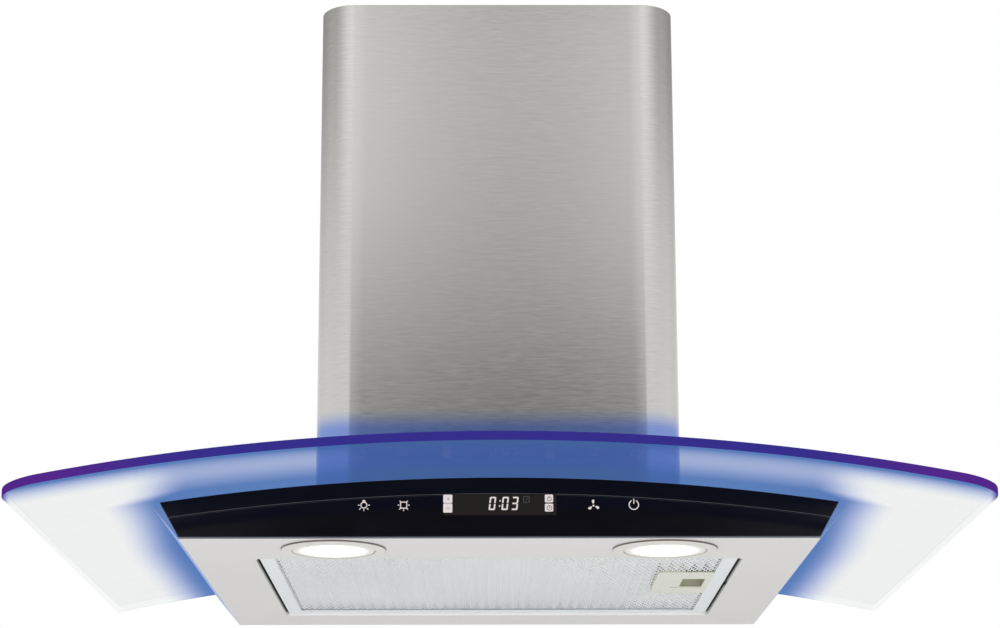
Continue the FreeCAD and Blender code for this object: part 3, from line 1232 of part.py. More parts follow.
def control_box():
    """Plastic tray screwed to the front of the blower box, open to the front."""
    x0, x1, y0, y1, z0, z1 = control_limits(0)
    front = y0 + CONTROL_WALL
    tray = box(x0, x1, front, y1, z0, z1)
    a0, a1, _, b1, c0, c1 = control_limits(CONTROL_WALL)
    tray = tray.cut(box(a0, a1, front - 1, b1, c0, c1))
    return tray.cut(cable_way())


def control_box_lid():
    x0, x1, y0, _, z0, z1 = control_limits(0)
    lid = box(x0, x1, y0, y0 + CONTROL_WALL, z0, z1)
    a0, a1, _, _, c0, c1 = control_limits(CONTROL_WALL + SEAT_GAP)
    lip = box(a0, a1, y0 + CONTROL_WALL, y0 + 2 * CONTROL_WALL, c0, c1)
    lip = lip.cut(box(a0 + LID_LIP, a1 - LID_LIP, y0, y0 + 3 * CONTROL_WALL, c0 + LID_LIP, c1 - LID_LIP))
    return lid.fuse(lip)


def board_limits():
    """Edges of the power board and its two faces, inside the control box."""
    x0, x1, _, y1, z0, z1 = control_limits(2 * CONTROL_WALL)
    return x0, x1, y1 - POWER_BOARD, y1, z0, z1


def power_board():
    """Circuit board with transformer, two relays and the driver for the lamps."""
    x0, x1, front, back, z0, z1 = board_limits()
    board = box(x0, x1, front, back, z0, z1)
    wall = BLOWER_FRONT_Y - CONTROL_WALL
    pieces = []
    for x in (x0 + STAND_INSET, x1 - STAND_INSET):
        for z in (z0 + STAND_INSET, z1 - STAND_INSET):
            pieces.append(box(x - STAND_HALF, x + STAND_HALF, back, wall, z - STAND_HALF, z + STAND_HALF))
    x = x0 + PART_SPACE
    for wide, high, deep in (TRANSFORMER, RELAY, RELAY, DRIVER):
        pieces.append(box(x, x + wide, front - deep, front, z0 + PART_SPACE, z0 + PART_SPACE + high))
        x += wide + PART_SPACE
    return board.multiFuse(pieces)


def terminal_block():
    _, x1, front, _, _, z1 = board_limits()
    right, high = x1 - PART_SPACE, z1 - PART_SPACE
    left = right - TERMINAL_WAYS * TERMINAL_PITCH
    block = box(left, right, front - TERMINAL_DEEP, front, high - TERMINAL_HIGH, high)
    for way in range(TERMINAL_WAYS):
        hole = V(left + TERMINAL_PITCH * (way + 0.5), front - TERMINAL_DEEP - 1, high - TERMINAL_HIGH / 2)
        block = block.cut(rod(V(0, 1, 0), TERMINAL_HOLE, hole, TERMINAL_SINK + 1))
    return block


def cable_gland():
    """Gland for the mains lead in the top of the blower box."""
    sheet_low = BLOWER_TOP_Z - SHEET
    low, high = sheet_low - GLAND_TAIL, BLOWER_TOP_Z + GLAND_HIGH
    gland = upright_hole(GLAND_X, GLAND_Y, GLAND_RADIUS, low, high)
    gland = gland.fuse(hexagon(GLAND_NUT, V(GLAND_X, GLAND_Y, BLOWER_TOP_Z), GLAND_NUT_UPPER))
    lower = V(GLAND_X, GLAND_Y, sheet_low - GLAND_NUT_LOWER)
    gland = gland.fuse(hexagon(GLAND_NUT, lower, GLAND_NUT_LOWER))
    return gland.cut(upright_hole(GLAND_X, GLAND_Y, GLAND_BORE, low - 1, high + 1))


# ---------------------------------------------------------------- chimney
def chimney_cover(half, depth, sheet, corner, back, z0, z1):
    """Open-backed cover with rounded front corners."""
    outer = round_upright(box(-half, half, -depth, back, z0, z1), corner, lambda x, y: y < -depth / 2)
    inner = box(-half + sheet, half - sheet, -depth + sheet, back + 1, z0 - 1, z1 + 1)
    inner = round_upright(inner, corner - sheet, lambda x, y: y < -depth / 2)
    return outer.cut(inner)


def lower_chimney():
    half = CHIMNEY_WIDTH / 2
    cover = chimney_cover(half, CHIMNEY_DEPTH, SHEET, CHIMNEY_CORNER, -CHIMNEY_BACK,
                          UNDERSIDE_Z, CHIMNEY_TOP_Z)
    return cover.common(arch_prism(-half - 1, half + 1, -CHIMNEY_DEPTH - 1, 0,
                                   Arch(GLASS_THICK + SEAT_GAP), CHIMNEY_TOP_Z))


def upper_chimney():
    corner = CHIMNEY_CORNER - SHEET - SLIDE_GAP
    return chimney_cover(UPPER_HALF, UPPER_DEPTH, UPPER_SHEET, corner, -CHIMNEY_BACK - 1,
                         UNDERSIDE_Z + UPPER_FOOT, CHIMNEY_TOP_Z)


def chimney_bracket():
    """Strip for the wall with an arm inside each side of the upper cover."""
    half = UPPER_HALF - UPPER_SHEET - SEAT_GAP
    high = CHIMNEY_TOP_Z - BRACKET_DROP
    low = high - BRACKET_HIGH
    strip = box(-half, half, -BRACKET_THICK, 0, low, high)
    for side in (-1, 1):
        x0, x1 = sorted((side * half, side * (half - BRACKET_THICK)))
        strip = strip.fuse(box(x0, x1, -BRACKET_ARM, -BRACKET_THICK / 2, low, high))
        hole = V(side * BRACKET_HOLE_X, -BRACKET_THICK - 1, (low + high) / 2)
        strip = strip.cut(rod(V(0, 1, 0), BRACKET_HOLE_RADIUS, hole, BRACKET_THICK + 2))
    return strip


def chimney_clips():
    """Sprung angles on the sides of the blower box that grip the lower cover."""
    clips = []
    wall = CHIMNEY_WIDTH / 2 - SHEET - SEAT_GAP
    near = BLOWER_HALF + CLIP_SHEET
    low = Arch(GLASS_THICK).z(BLOWER_HALF) + CLIP_RISE
    high = low + CLIP_HIGH
    arm = high - CLIP_EDGE
    under, leg = arm - CLIP_SHEET, arm - CLIP_LEG
    outline = [(BLOWER_HALF, low), (near, low), (near, under), (wall - CLIP_SHEET, under),
               (wall - CLIP_SHEET, leg), (wall, leg), (wall, arm),
               (near, arm), (near, high), (BLOWER_HALF, high)]
    for side in (-1, 1):
        for y in CLIP_Y:
            points = [(side * x, z) for x, z in outline]
            clips.append(prism_xz(points, y - CLIP_LONG / 2, y + CLIP_LONG / 2))
    return group(clips)


# ---------------------------------------------------------------- all nodes
def build():
    """Every node of the hood by name."""
    makers = [glass_canopy, glass_gasket, glass_washers, glass_screws, glass_nuts,
              body_shell, body_top_plate, control_fascia, fascia_upper_strip,
              fascia_carrier, carrier_nuts, touch_board, touch_pads, display_module,
              light_guide, led_strip, lamp_clips, filter_frame, filter_mesh_lower,
              filter_core, filter_mesh_upper, filter_pins, filter_latch_plate,
              filter_latch_slider, filter_latch_spring, latch_striker, blower_box,
              blower_back_plate, box_screws, impeller, motor_shaft, fan_motor,
              motor_bracket, motor_bushes, motor_screws, capacitor, capacitor_clip,
              outlet_funnel, duct_collar, damper_pin, control_box, control_box_lid,
              power_board, terminal_block, cable_gland, lower_chimney, upper_chimney,
              chimney_bracket, chimney_clips]
    nodes = {make.__name__: make() for make in makers}
    for name, side in (("left", -1), ("right", 1)):
        nodes["lamp_bezel_" + name] = lamp_bezel(side)
        nodes["lamp_lens_" + name] = lamp_lens(side)
        nodes["lamp_can_" + name] = lamp_can(side)
        nodes["scroll_housing_" + name] = scroll_housing(side)
    nodes["damper_flap_front"] = damper_flap(-1)
    nodes["damper_flap_back"] = damper_flap(1)
    return nodes


def main():
    os.makedirs("parts", exist_ok=True)
    for name, shape in build().items():
        shape.exportStep("parts/" + name + ".step")
        print(name, len(shape.Solids), "solids", round(shape.Volume), "mm3", "valid", shape.isValid())


main()
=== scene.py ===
"""Looks of a curved glass range hood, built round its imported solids."""

import logging
import math
from dataclasses import dataclass, field
from enum import Enum
from typing import Callable, Iterable, Sequence

import bmesh
import bpy
from mathutils import Matrix, Vector


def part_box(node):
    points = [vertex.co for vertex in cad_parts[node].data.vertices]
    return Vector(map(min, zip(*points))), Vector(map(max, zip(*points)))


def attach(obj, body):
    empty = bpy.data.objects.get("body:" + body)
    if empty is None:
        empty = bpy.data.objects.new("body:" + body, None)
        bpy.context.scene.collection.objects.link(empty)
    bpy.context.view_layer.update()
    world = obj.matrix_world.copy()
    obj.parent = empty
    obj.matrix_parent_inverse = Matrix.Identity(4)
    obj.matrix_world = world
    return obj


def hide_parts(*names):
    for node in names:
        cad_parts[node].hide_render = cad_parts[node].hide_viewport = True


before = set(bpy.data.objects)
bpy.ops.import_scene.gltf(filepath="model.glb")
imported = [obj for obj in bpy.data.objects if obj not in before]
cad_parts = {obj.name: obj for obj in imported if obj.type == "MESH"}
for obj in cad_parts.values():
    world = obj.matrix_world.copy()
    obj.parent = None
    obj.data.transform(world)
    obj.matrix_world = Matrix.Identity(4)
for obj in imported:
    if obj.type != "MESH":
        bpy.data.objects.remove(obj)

LOG = logging.getLogger("hood")
MM = 0.001
Point = tuple[float, float]
Colour = tuple[float, float, float]
Light = tuple[float, float, float, float]


class Body(Enum):
    """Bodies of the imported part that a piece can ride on."""

    HOOD = "hood"
    FILTER = "filter"
    LATCH = "latch"
    UPPER_COVER = "upper_cover"
    WHEEL = "wheel"
    FLAP_FRONT = "flap_front"
    FLAP_BACK = "flap_back"


class Side(Enum):
    """Left and right as the cook sees them."""

    LEFT = -1
    RIGHT = 1


class Slot(Enum):
    """Material slots of the record."""

    CLEAR_GLASS = "clear_glass"
    STAINLESS = "stainless"
    PALE_STEEL = "pale_steel"
    ZINC_STEEL = "zinc_steel"
    BLACK_GLASS = "black_glass"
    BLACK_PLASTIC = "black_plastic"
    GREY_PLASTIC = "grey_plastic"
    IVORY_PLASTIC = "ivory_plastic"
    SOFT_BLACK = "soft_black"
    BOARD_GREEN = "board_green"
    LIGHT_CLEAR = "light_clear"
    LAMP_WHITE = "lamp_white"
    BRIGHT_RING = "bright_ring"
    ALUMINIUM = "aluminium"
    SPRING_STEEL = "spring_steel"
    DARK_WINDOW = "dark_window"


# ---------------------------------------------------------------- node trees
class NodeBench:
    """A node tree with the few moves that materials, the world and geometry share."""

    def __init__(self, tree: bpy.types.NodeTree) -> None:
        """Takes up a tree.

        Args:
            tree: tree that gets the nodes.
        """
        self.tree = tree

    def add(self, kind: str, values: dict | None = None, **settings) -> bpy.types.Node:
        """Adds one node and fills its inputs.

        Args:
            kind: Blender's name of the node type.
            values: input name or number, and a constant or the output socket to link.
            settings: properties of the node itself.

        Returns:
            The new node.
        """
        node = self.tree.nodes.new(kind)
        for name, value in settings.items():
            setattr(node, name, value)
        for key, value in (values or {}).items():
            if isinstance(value, bpy.types.NodeSocket):
                self.tree.links.new(value, node.inputs[key])
            else:
                node.inputs[key].default_value = value
        return node

    def math(self, kind: str, first: object, second: object = 0.0) -> bpy.types.NodeSocket:
        """One arithmetic step on two values or sockets."""
        return self.add("ShaderNodeMath", {0: first, 1: second}, operation=kind).outputs[0]

    def product(self, *shares: object) -> bpy.types.NodeSocket:
        """Product of several shares, full only where all of them are."""
        total = shares[0]
        for share in shares[1:]:
            total = self.math("MULTIPLY", total, share)
        return total

    def span(self, value: object, low: float, high: float, start: float, end: float,
             smooth: bool = False) -> bpy.types.NodeSocket:
        """Maps low..high to start..end, held at both ends."""
        node = self.add("ShaderNodeMapRange", {"Value": value, "From Min": low, "From Max": high,
                                               "To Min": start, "To Max": end})
        node.interpolation_type = "SMOOTHSTEP" if smooth else "LINEAR"
        return node.outputs["Result"]


def shade(colour: Colour) -> Light:
    """Turns a colour as it looks on screen, 0 to 255, into linear light."""
    def linear(part: float) -> float:
        """One channel, screen value to light."""
        part = part / 255.0
        return part / 12.92 if part <= 0.04045 else ((part + 0.055) / 1.055) ** 2.4
    return (linear(colour[0]), linear(colour[1]), linear(colour[2]), 1.0)


def toned(light: Light, factor: float) -> Light:
    """A linear colour made lighter or darker."""
    return tuple(min(1.0, part * factor) for part in light[:3]) + (1.0,)


def coat(shader: bpy.types.Node) -> bpy.types.NodeSocket:
    """What colours a shader so far."""
    return shader.inputs["Base Color"].links[0].from_socket


class ShaderBench(NodeBench):
    """A new material with the few moves that every finish needs."""

    def __init__(self, name: str) -> None:
        """Makes an empty node material.

        Args:
            name: name of the material.
        """
        self.material = bpy.data.materials.new(name)
        self.material.use_nodes = True
        super().__init__(self.material.node_tree)
        self.tree.nodes.clear()
        self.output = self.add("ShaderNodeOutputMaterial")

    def place(self) -> bpy.types.NodeSocket:
        """Object coordinates of the surface point, in metres."""
        return self.add("ShaderNodeTexCoord").outputs["Object"]

    def axes(self) -> dict[str, bpy.types.NodeSocket]:
        """X, Y and Z of the surface point."""
        return dict(self.add("ShaderNodeSeparateXYZ", {0: self.place()}).outputs.items())

    def within(self, value: object, low: float, high: float) -> bpy.types.NodeSocket:
        """One where a value lies between two limits, and nothing elsewhere."""
        return self.product(self.math("GREATER_THAN", value, low), self.math("LESS_THAN", value, high))

    def noise(self, scale: Sequence[float], detail: float = 2.0, warp: float = 0.0) -> bpy.types.NodeSocket:
        """Noise on object coordinates.

        Args:
            scale: how often the noise changes per metre along X, Y and Z.
            detail: octaves of the noise.
            warp: distortion.

        Returns:
            The factor output, 0 to 1.
        """
        mapped = self.add("ShaderNodeMapping", {"Vector": self.place(), "Scale": tuple(scale)})
        noise = self.add("ShaderNodeTexNoise", {"Vector": mapped.outputs[0], "Scale": 1.0, "Detail": detail,
                                                "Distortion": warp})
        return noise.outputs["Fac"]

    def blend(self, factor: object, first: object, second: object, kind: str = "MIX") -> bpy.types.NodeSocket:
        """Mixes two colours."""
        node = self.add("ShaderNodeMix", {0: factor, 6: first, 7: second}, data_type="RGBA", blend_type=kind)
        return node.outputs[2]

    def mottled(self, noise: bpy.types.NodeSocket, first: object, second: object) -> bpy.types.NodeSocket:
        """Colour that wanders between two tones with a noise."""
        return self.blend(self.span(noise, 0.3, 0.7, 0.0, 1.0), first, second)

    def bump(self, height: bpy.types.NodeSocket, strength: float, depth: float) -> bpy.types.NodeSocket:
        """Bumps the surface by a height field, depth in metres."""
        node = self.add("ShaderNodeBump", {"Height": height, "Strength": strength, "Distance": depth})
        return node.outputs["Normal"]

    def close(self, surface: bpy.types.NodeSocket) -> bpy.types.Material:
        """Links the surface shader and hands the material over."""
        self.tree.links.new(surface, self.output.inputs["Surface"])
        return self.material


# ---------------------------------------------------------------- finishes
@dataclass(frozen=True)
class Finish:
    """A named finish of the hood."""

    name: str

    def surface(self, bench: ShaderBench) -> bpy.types.Node:
        """Adds the nodes of the finish and returns its last shader."""
        raise NotImplementedError

    def build(self) -> bpy.types.Material:
        """Makes the material."""
        bench = ShaderBench(self.name)
        return bench.close(self.surface(bench).outputs[0])


@dataclass(frozen=True)
class BrushedMetal(Finish):
    """Metal with fine grinding lines and a slow change of tone.

    The lines run level round the piece, or along one axis where grain says so.
    """

    colour: Colour
    roughness: float = 0.3
    grain: tuple[float, float, float] = (14.0, 14.0, 2600.0)
    contrast: float = 0.12
    bump: float = 0.25
    cloud: float = 0.06
    metallic: float = 1.0
    stretch: float = 0.0

    def surface(self, bench: ShaderBench) -> bpy.types.Node:
        """Builds the metal and returns its Principled node."""
        lines = bench.noise(self.grain, 3.0)
        clouds = bench.noise((7.0, 7.0, 7.0), 2.0)
        tone = bench.span(lines, 0.25, 0.75, 1.0 - self.contrast, 1.0 + self.contrast / 2)
        slow = bench.span(clouds, 0.3, 0.7, 1.0 - self.cloud, 1.0 + self.cloud / 2)
        tint = bench.math("MULTIPLY", tone, slow)
        grey = bench.add("ShaderNodeCombineColor", {0: tint, 1: tint, 2: tint}).outputs[0]
        colour = bench.blend(1.0, shade(self.colour), grey, "MULTIPLY")
        rough = bench.span(lines, 0.2, 0.8, self.roughness - 0.03, self.roughness + 0.04)
        shader = bench.add("ShaderNodeBsdfPrincipled", {
            "Base Color": colour, "Metallic": self.metallic, "Roughness": rough,
            "Anisotropic": self.stretch, "Anisotropic Rotation": 0.25 if self.stretch else 0.0,
            "Normal": bench.bump(lines, self.bump, 0.00002)})
        if self.stretch:
            tangent = bench.add("ShaderNodeTangent", direction_type="RADIAL", axis="Z")
            bench.tree.links.new(tangent.outputs[0], shader.inputs["Tangent"])
        return shader

@dataclass(frozen=True)
class GlowSteel(BrushedMetal):
    """Brushed steel with a painted blue glow near its foot: a blue tint and emission stand in for the light of the
    canopy falling on it.
    """

    foot: float = -0.049
    fade: float = 0.017
    tone: tuple[float, float, float] = (0.34, 0.48, 0.98)
    glow: Colour = (30, 60, 130)
    strength: float = 0.35

    def surface(self, bench: ShaderBench) -> bpy.types.Node:
        """Adds the nodes of the finish."""
        shader = super().surface(bench)
        height = bench.axes()["Z"]
        # Painted light: near the foot the colour turns blue and the steel glows.
        near = bench.span(height, self.foot, self.foot + self.fade, 1.0, 0.0, True)
        level = bench.math("MULTIPLY", near, self.strength)
        plain = coat(shader)
        blue = bench.blend(1.0, plain, self.tone + (1.0,), "MULTIPLY")
        bench.tree.links.new(bench.blend(near, plain, blue), shader.inputs["Base Color"])
        shader.inputs["Emission Color"].default_value = shade(self.glow)
        bench.tree.links.new(level, shader.inputs["Emission Strength"])
        return shader


@dataclass(frozen=True)
class PanelSteel(BrushedMetal):
    """Pale panel steel of the body, with painted light and shade: a painted blue glow on its sloped sides, a painted
    dark line on its front hem, painted shade on the side walls of the filter opening and a painted light strip at the
    back of the opening.
    """

    side_half: float = 0.2030
    side_slope: float = 0.562
    underside: float = -0.150
    nose_y: float = -0.3862
    opening_half: float = 0.166
    slot_wall: float = 0.008
    opening_rows: Point = (-0.317, -0.046)
    glow: Colour = (88, 123, 184)
    nose_tone: Light = (0.2, 0.2, 0.205, 1.0)
    slot_tone: Light = (0.05, 0.05, 0.05, 1.0)
    back_tone: Light = (0.98, 0.98, 0.97, 1.0)
    side_tone: Light = (0.06, 0.07, 0.1, 1.0)

    def surface(self, bench: ShaderBench) -> bpy.types.Node:
        """Adds the nodes of the finish."""
        shader = super().surface(bench)
        place = bench.axes()
        across = bench.math("ABSOLUTE", place["X"])
        # Painted light: the sloped sides above the underside glow blue.
        rise = bench.math("SUBTRACT", place["Z"], self.underside)
        line = bench.math("MULTIPLY_ADD", rise, self.side_slope)
        line.node.inputs[2].default_value = self.side_half
        beyond = bench.span(bench.math("SUBTRACT", across, line), 0.0, 0.0004, 0.0, 1.0)
        above = bench.span(rise, 0.0004, 0.0016, 0.0, 1.0)
        lit = bench.math("MULTIPLY", beyond, above)
        front = bench.span(place["Y"], self.nose_y, self.nose_y + MM, 0.78, 0.92)
        shader.inputs["Emission Color"].default_value = shade(self.glow)
        bench.tree.links.new(bench.math("MULTIPLY", lit, front), shader.inputs["Emission Strength"])
        plain = coat(shader)
        # Painted shade: a dark line along the front hem, under the fascia.
        nose = bench.product(bench.span(place["Y"], self.nose_y, self.nose_y + 0.0006, 1.0, 0.0),
                             bench.span(rise, 0.0001, 0.0004, 0.0, 1.0))
        painted_light_and_shade = bench.blend(nose, plain, self.nose_tone)
        # Painted shade: the side walls of the filter opening are made nearly black.
        hollow = bench.product(bench.within(across, self.opening_half - self.slot_wall, self.opening_half),
                               bench.within(place["Y"], *self.opening_rows),
                               bench.span(rise, 0.0022, 0.0030, 0.0, 1.0))
        painted_light_and_shade = bench.blend(hollow, painted_light_and_shade, self.slot_tone)
        # Painted light: the back wall of the filter opening is made lighter than the panel.
        behind = bench.product(bench.math("LESS_THAN", across, self.opening_half),
                               bench.span(place["Y"], -0.0520, -0.0515, 0.0, 1.0),
                               bench.span(rise, 0.0001, 0.0003, 0.0, 1.0))
        painted_light_and_shade = bench.blend(behind, painted_light_and_shade, self.back_tone)
        # The glowing sides get a dark base colour, so that the painted glow shows alone.
        dark = bench.blend(lit, painted_light_and_shade, self.side_tone)
        bench.tree.links.new(dark, shader.inputs["Base Color"])
        return shader


@dataclass(frozen=True)
class Moulded(Finish):
    """Moulded plastic or rubber with the fine grain of its tool."""

    colour: Colour
    roughness: float = 0.5
    grain: float = 2600.0
    bump: float = 0.25
    mottle: float = 0.08
    specular: float = 0.5

    def surface(self, bench: ShaderBench) -> bpy.types.Node:
        """Adds the nodes of the finish."""
        fine = bench.noise((self.grain,) * 3, 2.0)
        broad = bench.noise((22.0, 22.0, 22.0), 2.0)
        base = shade(self.colour)
        colour = bench.mottled(broad, toned(base, 1.0 - self.mottle), toned(base, 1.0 + self.mottle))
        rough = bench.span(fine, 0.3, 0.7, self.roughness - 0.05, self.roughness + 0.05)
        shader = bench.add("ShaderNodeBsdfPrincipled", {
            "Base Color": colour, "Roughness": rough, "Specular IOR Level": self.specular,
            "Normal": bench.bump(fine, self.bump, 0.00003)})
        return shader


@dataclass(frozen=True)
class FrameAluminium(BrushedMetal):
    """Pale channel aluminium of the filter, with painted shade on its outer walls."""

    wall_x: float = 0.16
    wall_tone: Light = (0.06, 0.06, 0.06, 1.0)

    def surface(self, bench: ShaderBench) -> bpy.types.Node:
        """Adds the nodes of the finish."""
        shader = super().surface(bench)
        place = bench.axes()
        across = bench.math("ABSOLUTE", place["X"])
        # Painted shade: the outer side walls of the frame are made nearly black.
        wall = bench.span(across, self.wall_x, self.wall_x + 0.0003, 0.0, 1.0)
        plain = coat(shader)
        bench.tree.links.new(bench.blend(wall, plain, self.wall_tone), shader.inputs["Base Color"])
        return shader


@dataclass(frozen=True)
class LatchPlastic(Finish):
    """Ivory moulding with painted shade in its finger cup, slit and bolt: olive and darker with depth in the cup, a
    dark painted line at the cup's front, and a dark slit and bolt.
    """

    colour: Colour = (211, 212, 200)
    deep: Colour = (166, 166, 146)
    face: float = -0.1479
    floor: float = -0.1466
    cup: tuple[float, float, float] = (0.1302, -0.2130, -0.2110)
    slit: tuple[float, float, float, float] = (0.1241, 0.1301, -0.1772, -0.1748)
    bolt: Point = (0.1592, 0.1600)
    line_tone: Light = (0.03, 0.03, 0.025, 1.0)
    slit_tone: Light = (0.06, 0.06, 0.05, 1.0)
    bolt_tone: Light = (0.05, 0.05, 0.045, 1.0)

    def surface(self, bench: ShaderBench) -> bpy.types.Node:
        """Adds the nodes of the finish."""
        fine = bench.noise((2600.0,) * 3, 2.0)
        broad = bench.noise((60.0, 60.0, 60.0), 2.0)
        place = bench.axes()
        base = shade(self.colour)
        pale = bench.mottled(broad, base, toned(base, 1.03))
        # Painted shade: the deeper the surface lies in the cup, the nearer its colour comes to the olive deep tone.
        depth = bench.span(place["Z"], self.face, self.floor, 0.0, 1.0)
        colour = bench.blend(depth, pale, shade(self.deep))
        # Painted shadow: a dark line along the front of the cup.
        left, front, lip = self.cup
        shadow = bench.product(bench.span(place["Y"], front, lip, 1.0, 0.0),
                               bench.math("GREATER_THAN", place["X"], left), depth)
        colour = bench.blend(shadow, colour, self.line_tone)
        # Painted shade in the slit.
        start, end, fore, back = self.slit
        slot = bench.product(bench.within(place["X"], start, end), bench.within(place["Y"], fore, back),
                             bench.math("GREATER_THAN", place["Z"], self.face))
        colour = bench.blend(slot, colour, self.slit_tone)
        # Painted shade on the bolt.
        bolt = bench.span(place["X"], *self.bolt, 0.0, 1.0)
        colour = bench.blend(bolt, colour, self.bolt_tone)
        rough = bench.span(fine, 0.3, 0.7, 0.38, 0.48)
        shader = bench.add("ShaderNodeBsdfPrincipled", {"Base Color": colour, "Roughness": rough,
                                                        "Normal": bench.bump(fine, 0.2, 0.00003)})
        return shader


@dataclass(frozen=True)
class GlowRim(Finish):
    """Pale frosted rim of the lamp lens, brightest next to the lit disc."""

    colour: Colour = (222, 220, 214)
    centre: Point = (0.1076, -0.351)
    lit: float = 0.021
    reach: float = 0.0035

    def surface(self, bench: ShaderBench) -> bpy.types.Node:
        """Adds the nodes of the finish."""
        fine = bench.noise((2600.0,) * 3, 2.0)
        place = bench.axes()
        x = bench.math("SUBTRACT", bench.math("ABSOLUTE", place["X"]), self.centre[0])
        y = bench.math("SUBTRACT", place["Y"], self.centre[1])
        distance = bench.math("SQRT", bench.math("ADD", bench.product(x, x), bench.product(y, y)))
        near = bench.span(distance, self.lit, self.lit + self.reach, 0.22, 0.0, True)
        tone = bench.mottled(fine, shade(self.colour), toned(shade(self.colour), 1.02))
        shader = bench.add("ShaderNodeBsdfPrincipled", {
            "Base Color": tone, "Roughness": 0.4, "Emission Color": (1.0, 1.0, 0.98, 1.0),
            "Emission Strength": near, "Normal": bench.bump(fine, 0.2, 0.00002)})
        return shader


@dataclass(frozen=True)
class ZincPlate(Finish):
    """Galvanised sheet: crystal spangle with a soft metallic shine."""

    colour: Colour = (182, 186, 189)
    spangle: float = 130.0

    def surface(self, bench: ShaderBench) -> bpy.types.Node:
        """Adds the nodes of the finish."""
        cells = bench.add("ShaderNodeTexVoronoi", {"Vector": bench.place(), "Scale": self.spangle})
        value = bench.add("ShaderNodeSeparateColor", {0: cells.outputs["Color"]}).outputs[0]
        base = shade(self.colour)
        colour = bench.blend(value, toned(base, 0.8), toned(base, 1.12))
        rough = bench.span(value, 0.0, 1.0, 0.34, 0.5)
        fine = bench.noise((900.0,) * 3, 2.0)
        shader = bench.add("ShaderNodeBsdfPrincipled", {
            "Base Color": colour, "Metallic": 0.85, "Roughness": rough,
            "Normal": bench.bump(fine, 0.15, 0.00003)})
        return shader


@dataclass(frozen=True)
class BlackGlass(Finish):
    """Back-painted black glass with a faint haze and wipe marks."""

    colour: Colour = (12, 11, 16)
    roughness: float = 0.06

    def surface(self, bench: ShaderBench) -> bpy.types.Node:
        """Adds the nodes of the finish."""
        wipes = bench.noise((30.0, 30.0, 90.0), 3.0, 0.6)
        colour = bench.mottled(wipes, shade(self.colour), toned(shade(self.colour), 1.25))
        rough = bench.span(wipes, 0.3, 0.7, self.roughness, self.roughness + 0.05)
        shader = bench.add("ShaderNodeBsdfPrincipled", {
            "Base Color": colour, "Roughness": rough, "Specular IOR Level": 0.15})
        return shader


@dataclass(frozen=True)
class CanopyGlass(Finish):
    """Clear glass whose underside carries the blue light of the strip below it.

    The light is strongest along the body and along the front edge and fades between them.
    """

    body_half: float = 0.223
    fascia_y: float = -0.3864
    front_y: float = -0.492
    tint: Colour = (89, 127, 189)

    def glow_level(self, bench: ShaderBench) -> bpy.types.NodeSocket:
        """Share of the surface that is lit, 0 to 1, from its place on the canopy."""
        place = bench.axes()
        across = bench.math("ABSOLUTE", place["X"])
        ahead = bench.math("SUBTRACT", self.fascia_y, place["Y"])
        step = bench.span(ahead, -0.004, 0.026, 0.0, 0.017, True)
        lean = bench.math("MULTIPLY", bench.math("MAXIMUM", ahead, 0.0), 0.15)
        edge = bench.math("SUBTRACT", bench.math("SUBTRACT", self.body_half, step), lean)
        aside = bench.math("SUBTRACT", across, edge)
        early = bench.span(ahead, -0.200, -0.020, -0.0035, 0.0045, True)
        aside = bench.math("ADD", aside, early)
        fade_side = bench.span(aside, -0.002, 0.036, 1.0, 0.0, True)
        fade_front = bench.span(ahead, 0.018, 0.135, 1.0, 0.0)
        inside = bench.span(aside, -0.030, -0.012, 0.0, 1.0, True)
        over_body = bench.span(ahead, -0.05, -0.004, 0.0, 1.0, True)
        core = bench.math("MAXIMUM", inside, over_body)
        body = bench.product(fade_side, fade_front, core)
        from_edge = bench.math("SUBTRACT", place["Y"], self.front_y)
        rim = bench.math("POWER", bench.span(from_edge, 0.004, 0.050, 1.0, 0.0), 1.6)
        dark = bench.math("MULTIPLY", bench.math("SUBTRACT", 1.0, body), bench.math("SUBTRACT", 1.0, rim))
        return bench.math("SUBTRACT", 1.0, dark)

    def clear(self, bench: ShaderBench, tint: Colour) -> bpy.types.Node:
        """Clear polished glass: see-through with a mirror share that grows at a glance."""
        specks = bench.noise((60.0, 60.0, 60.0), 2.0)
        colour = bench.mottled(specks, shade(tint), toned(shade(tint), 0.992))
        through = bench.add("ShaderNodeBsdfTransparent", {0: colour})
        mirror = bench.add("ShaderNodeBsdfGlossy", {"Color": (1, 1, 1, 1), "Roughness": 0.02})
        facing = bench.add("ShaderNodeFresnel", {"IOR": 1.2})
        share = bench.math("MINIMUM", bench.math("MULTIPLY", facing.outputs[0], 0.25), 0.12)
        return bench.add("ShaderNodeMixShader", {0: share, 1: through.outputs[0],
                                                 2: mirror.outputs[0]})

    def surface(self, bench: ShaderBench) -> bpy.types.Node:
        """Adds the nodes of the finish."""
        filtered = bench.add("ShaderNodeBsdfTransparent", {0: (0.06, 0.11, 0.25, 1.0)})
        level = self.glow_level(bench)
        red, green, blue = (part * 0.52 for part in shade(self.tint)[:3])
        tone = bench.blend(level, (red, green, blue + 0.25, 1.0), (red, green, blue, 1.0))
        light = bench.add("ShaderNodeEmission", {0: tone, 1: 1.0})
        lit = bench.add("ShaderNodeAddShader", {0: filtered.outputs[0], 1: light.outputs[0]})
        mix = bench.add("ShaderNodeMixShader", {0: level,
                                                1: self.clear(bench, (249, 250, 249)).outputs[0],
                                                2: lit.outputs[0]})
        return mix


@dataclass(frozen=True)
class ClearTop(CanopyGlass):
    """Top face of the canopy."""

    def surface(self, bench: ShaderBench) -> bpy.types.Node:
        """Adds the nodes of the finish."""
        return self.clear(bench, (250, 252, 251))


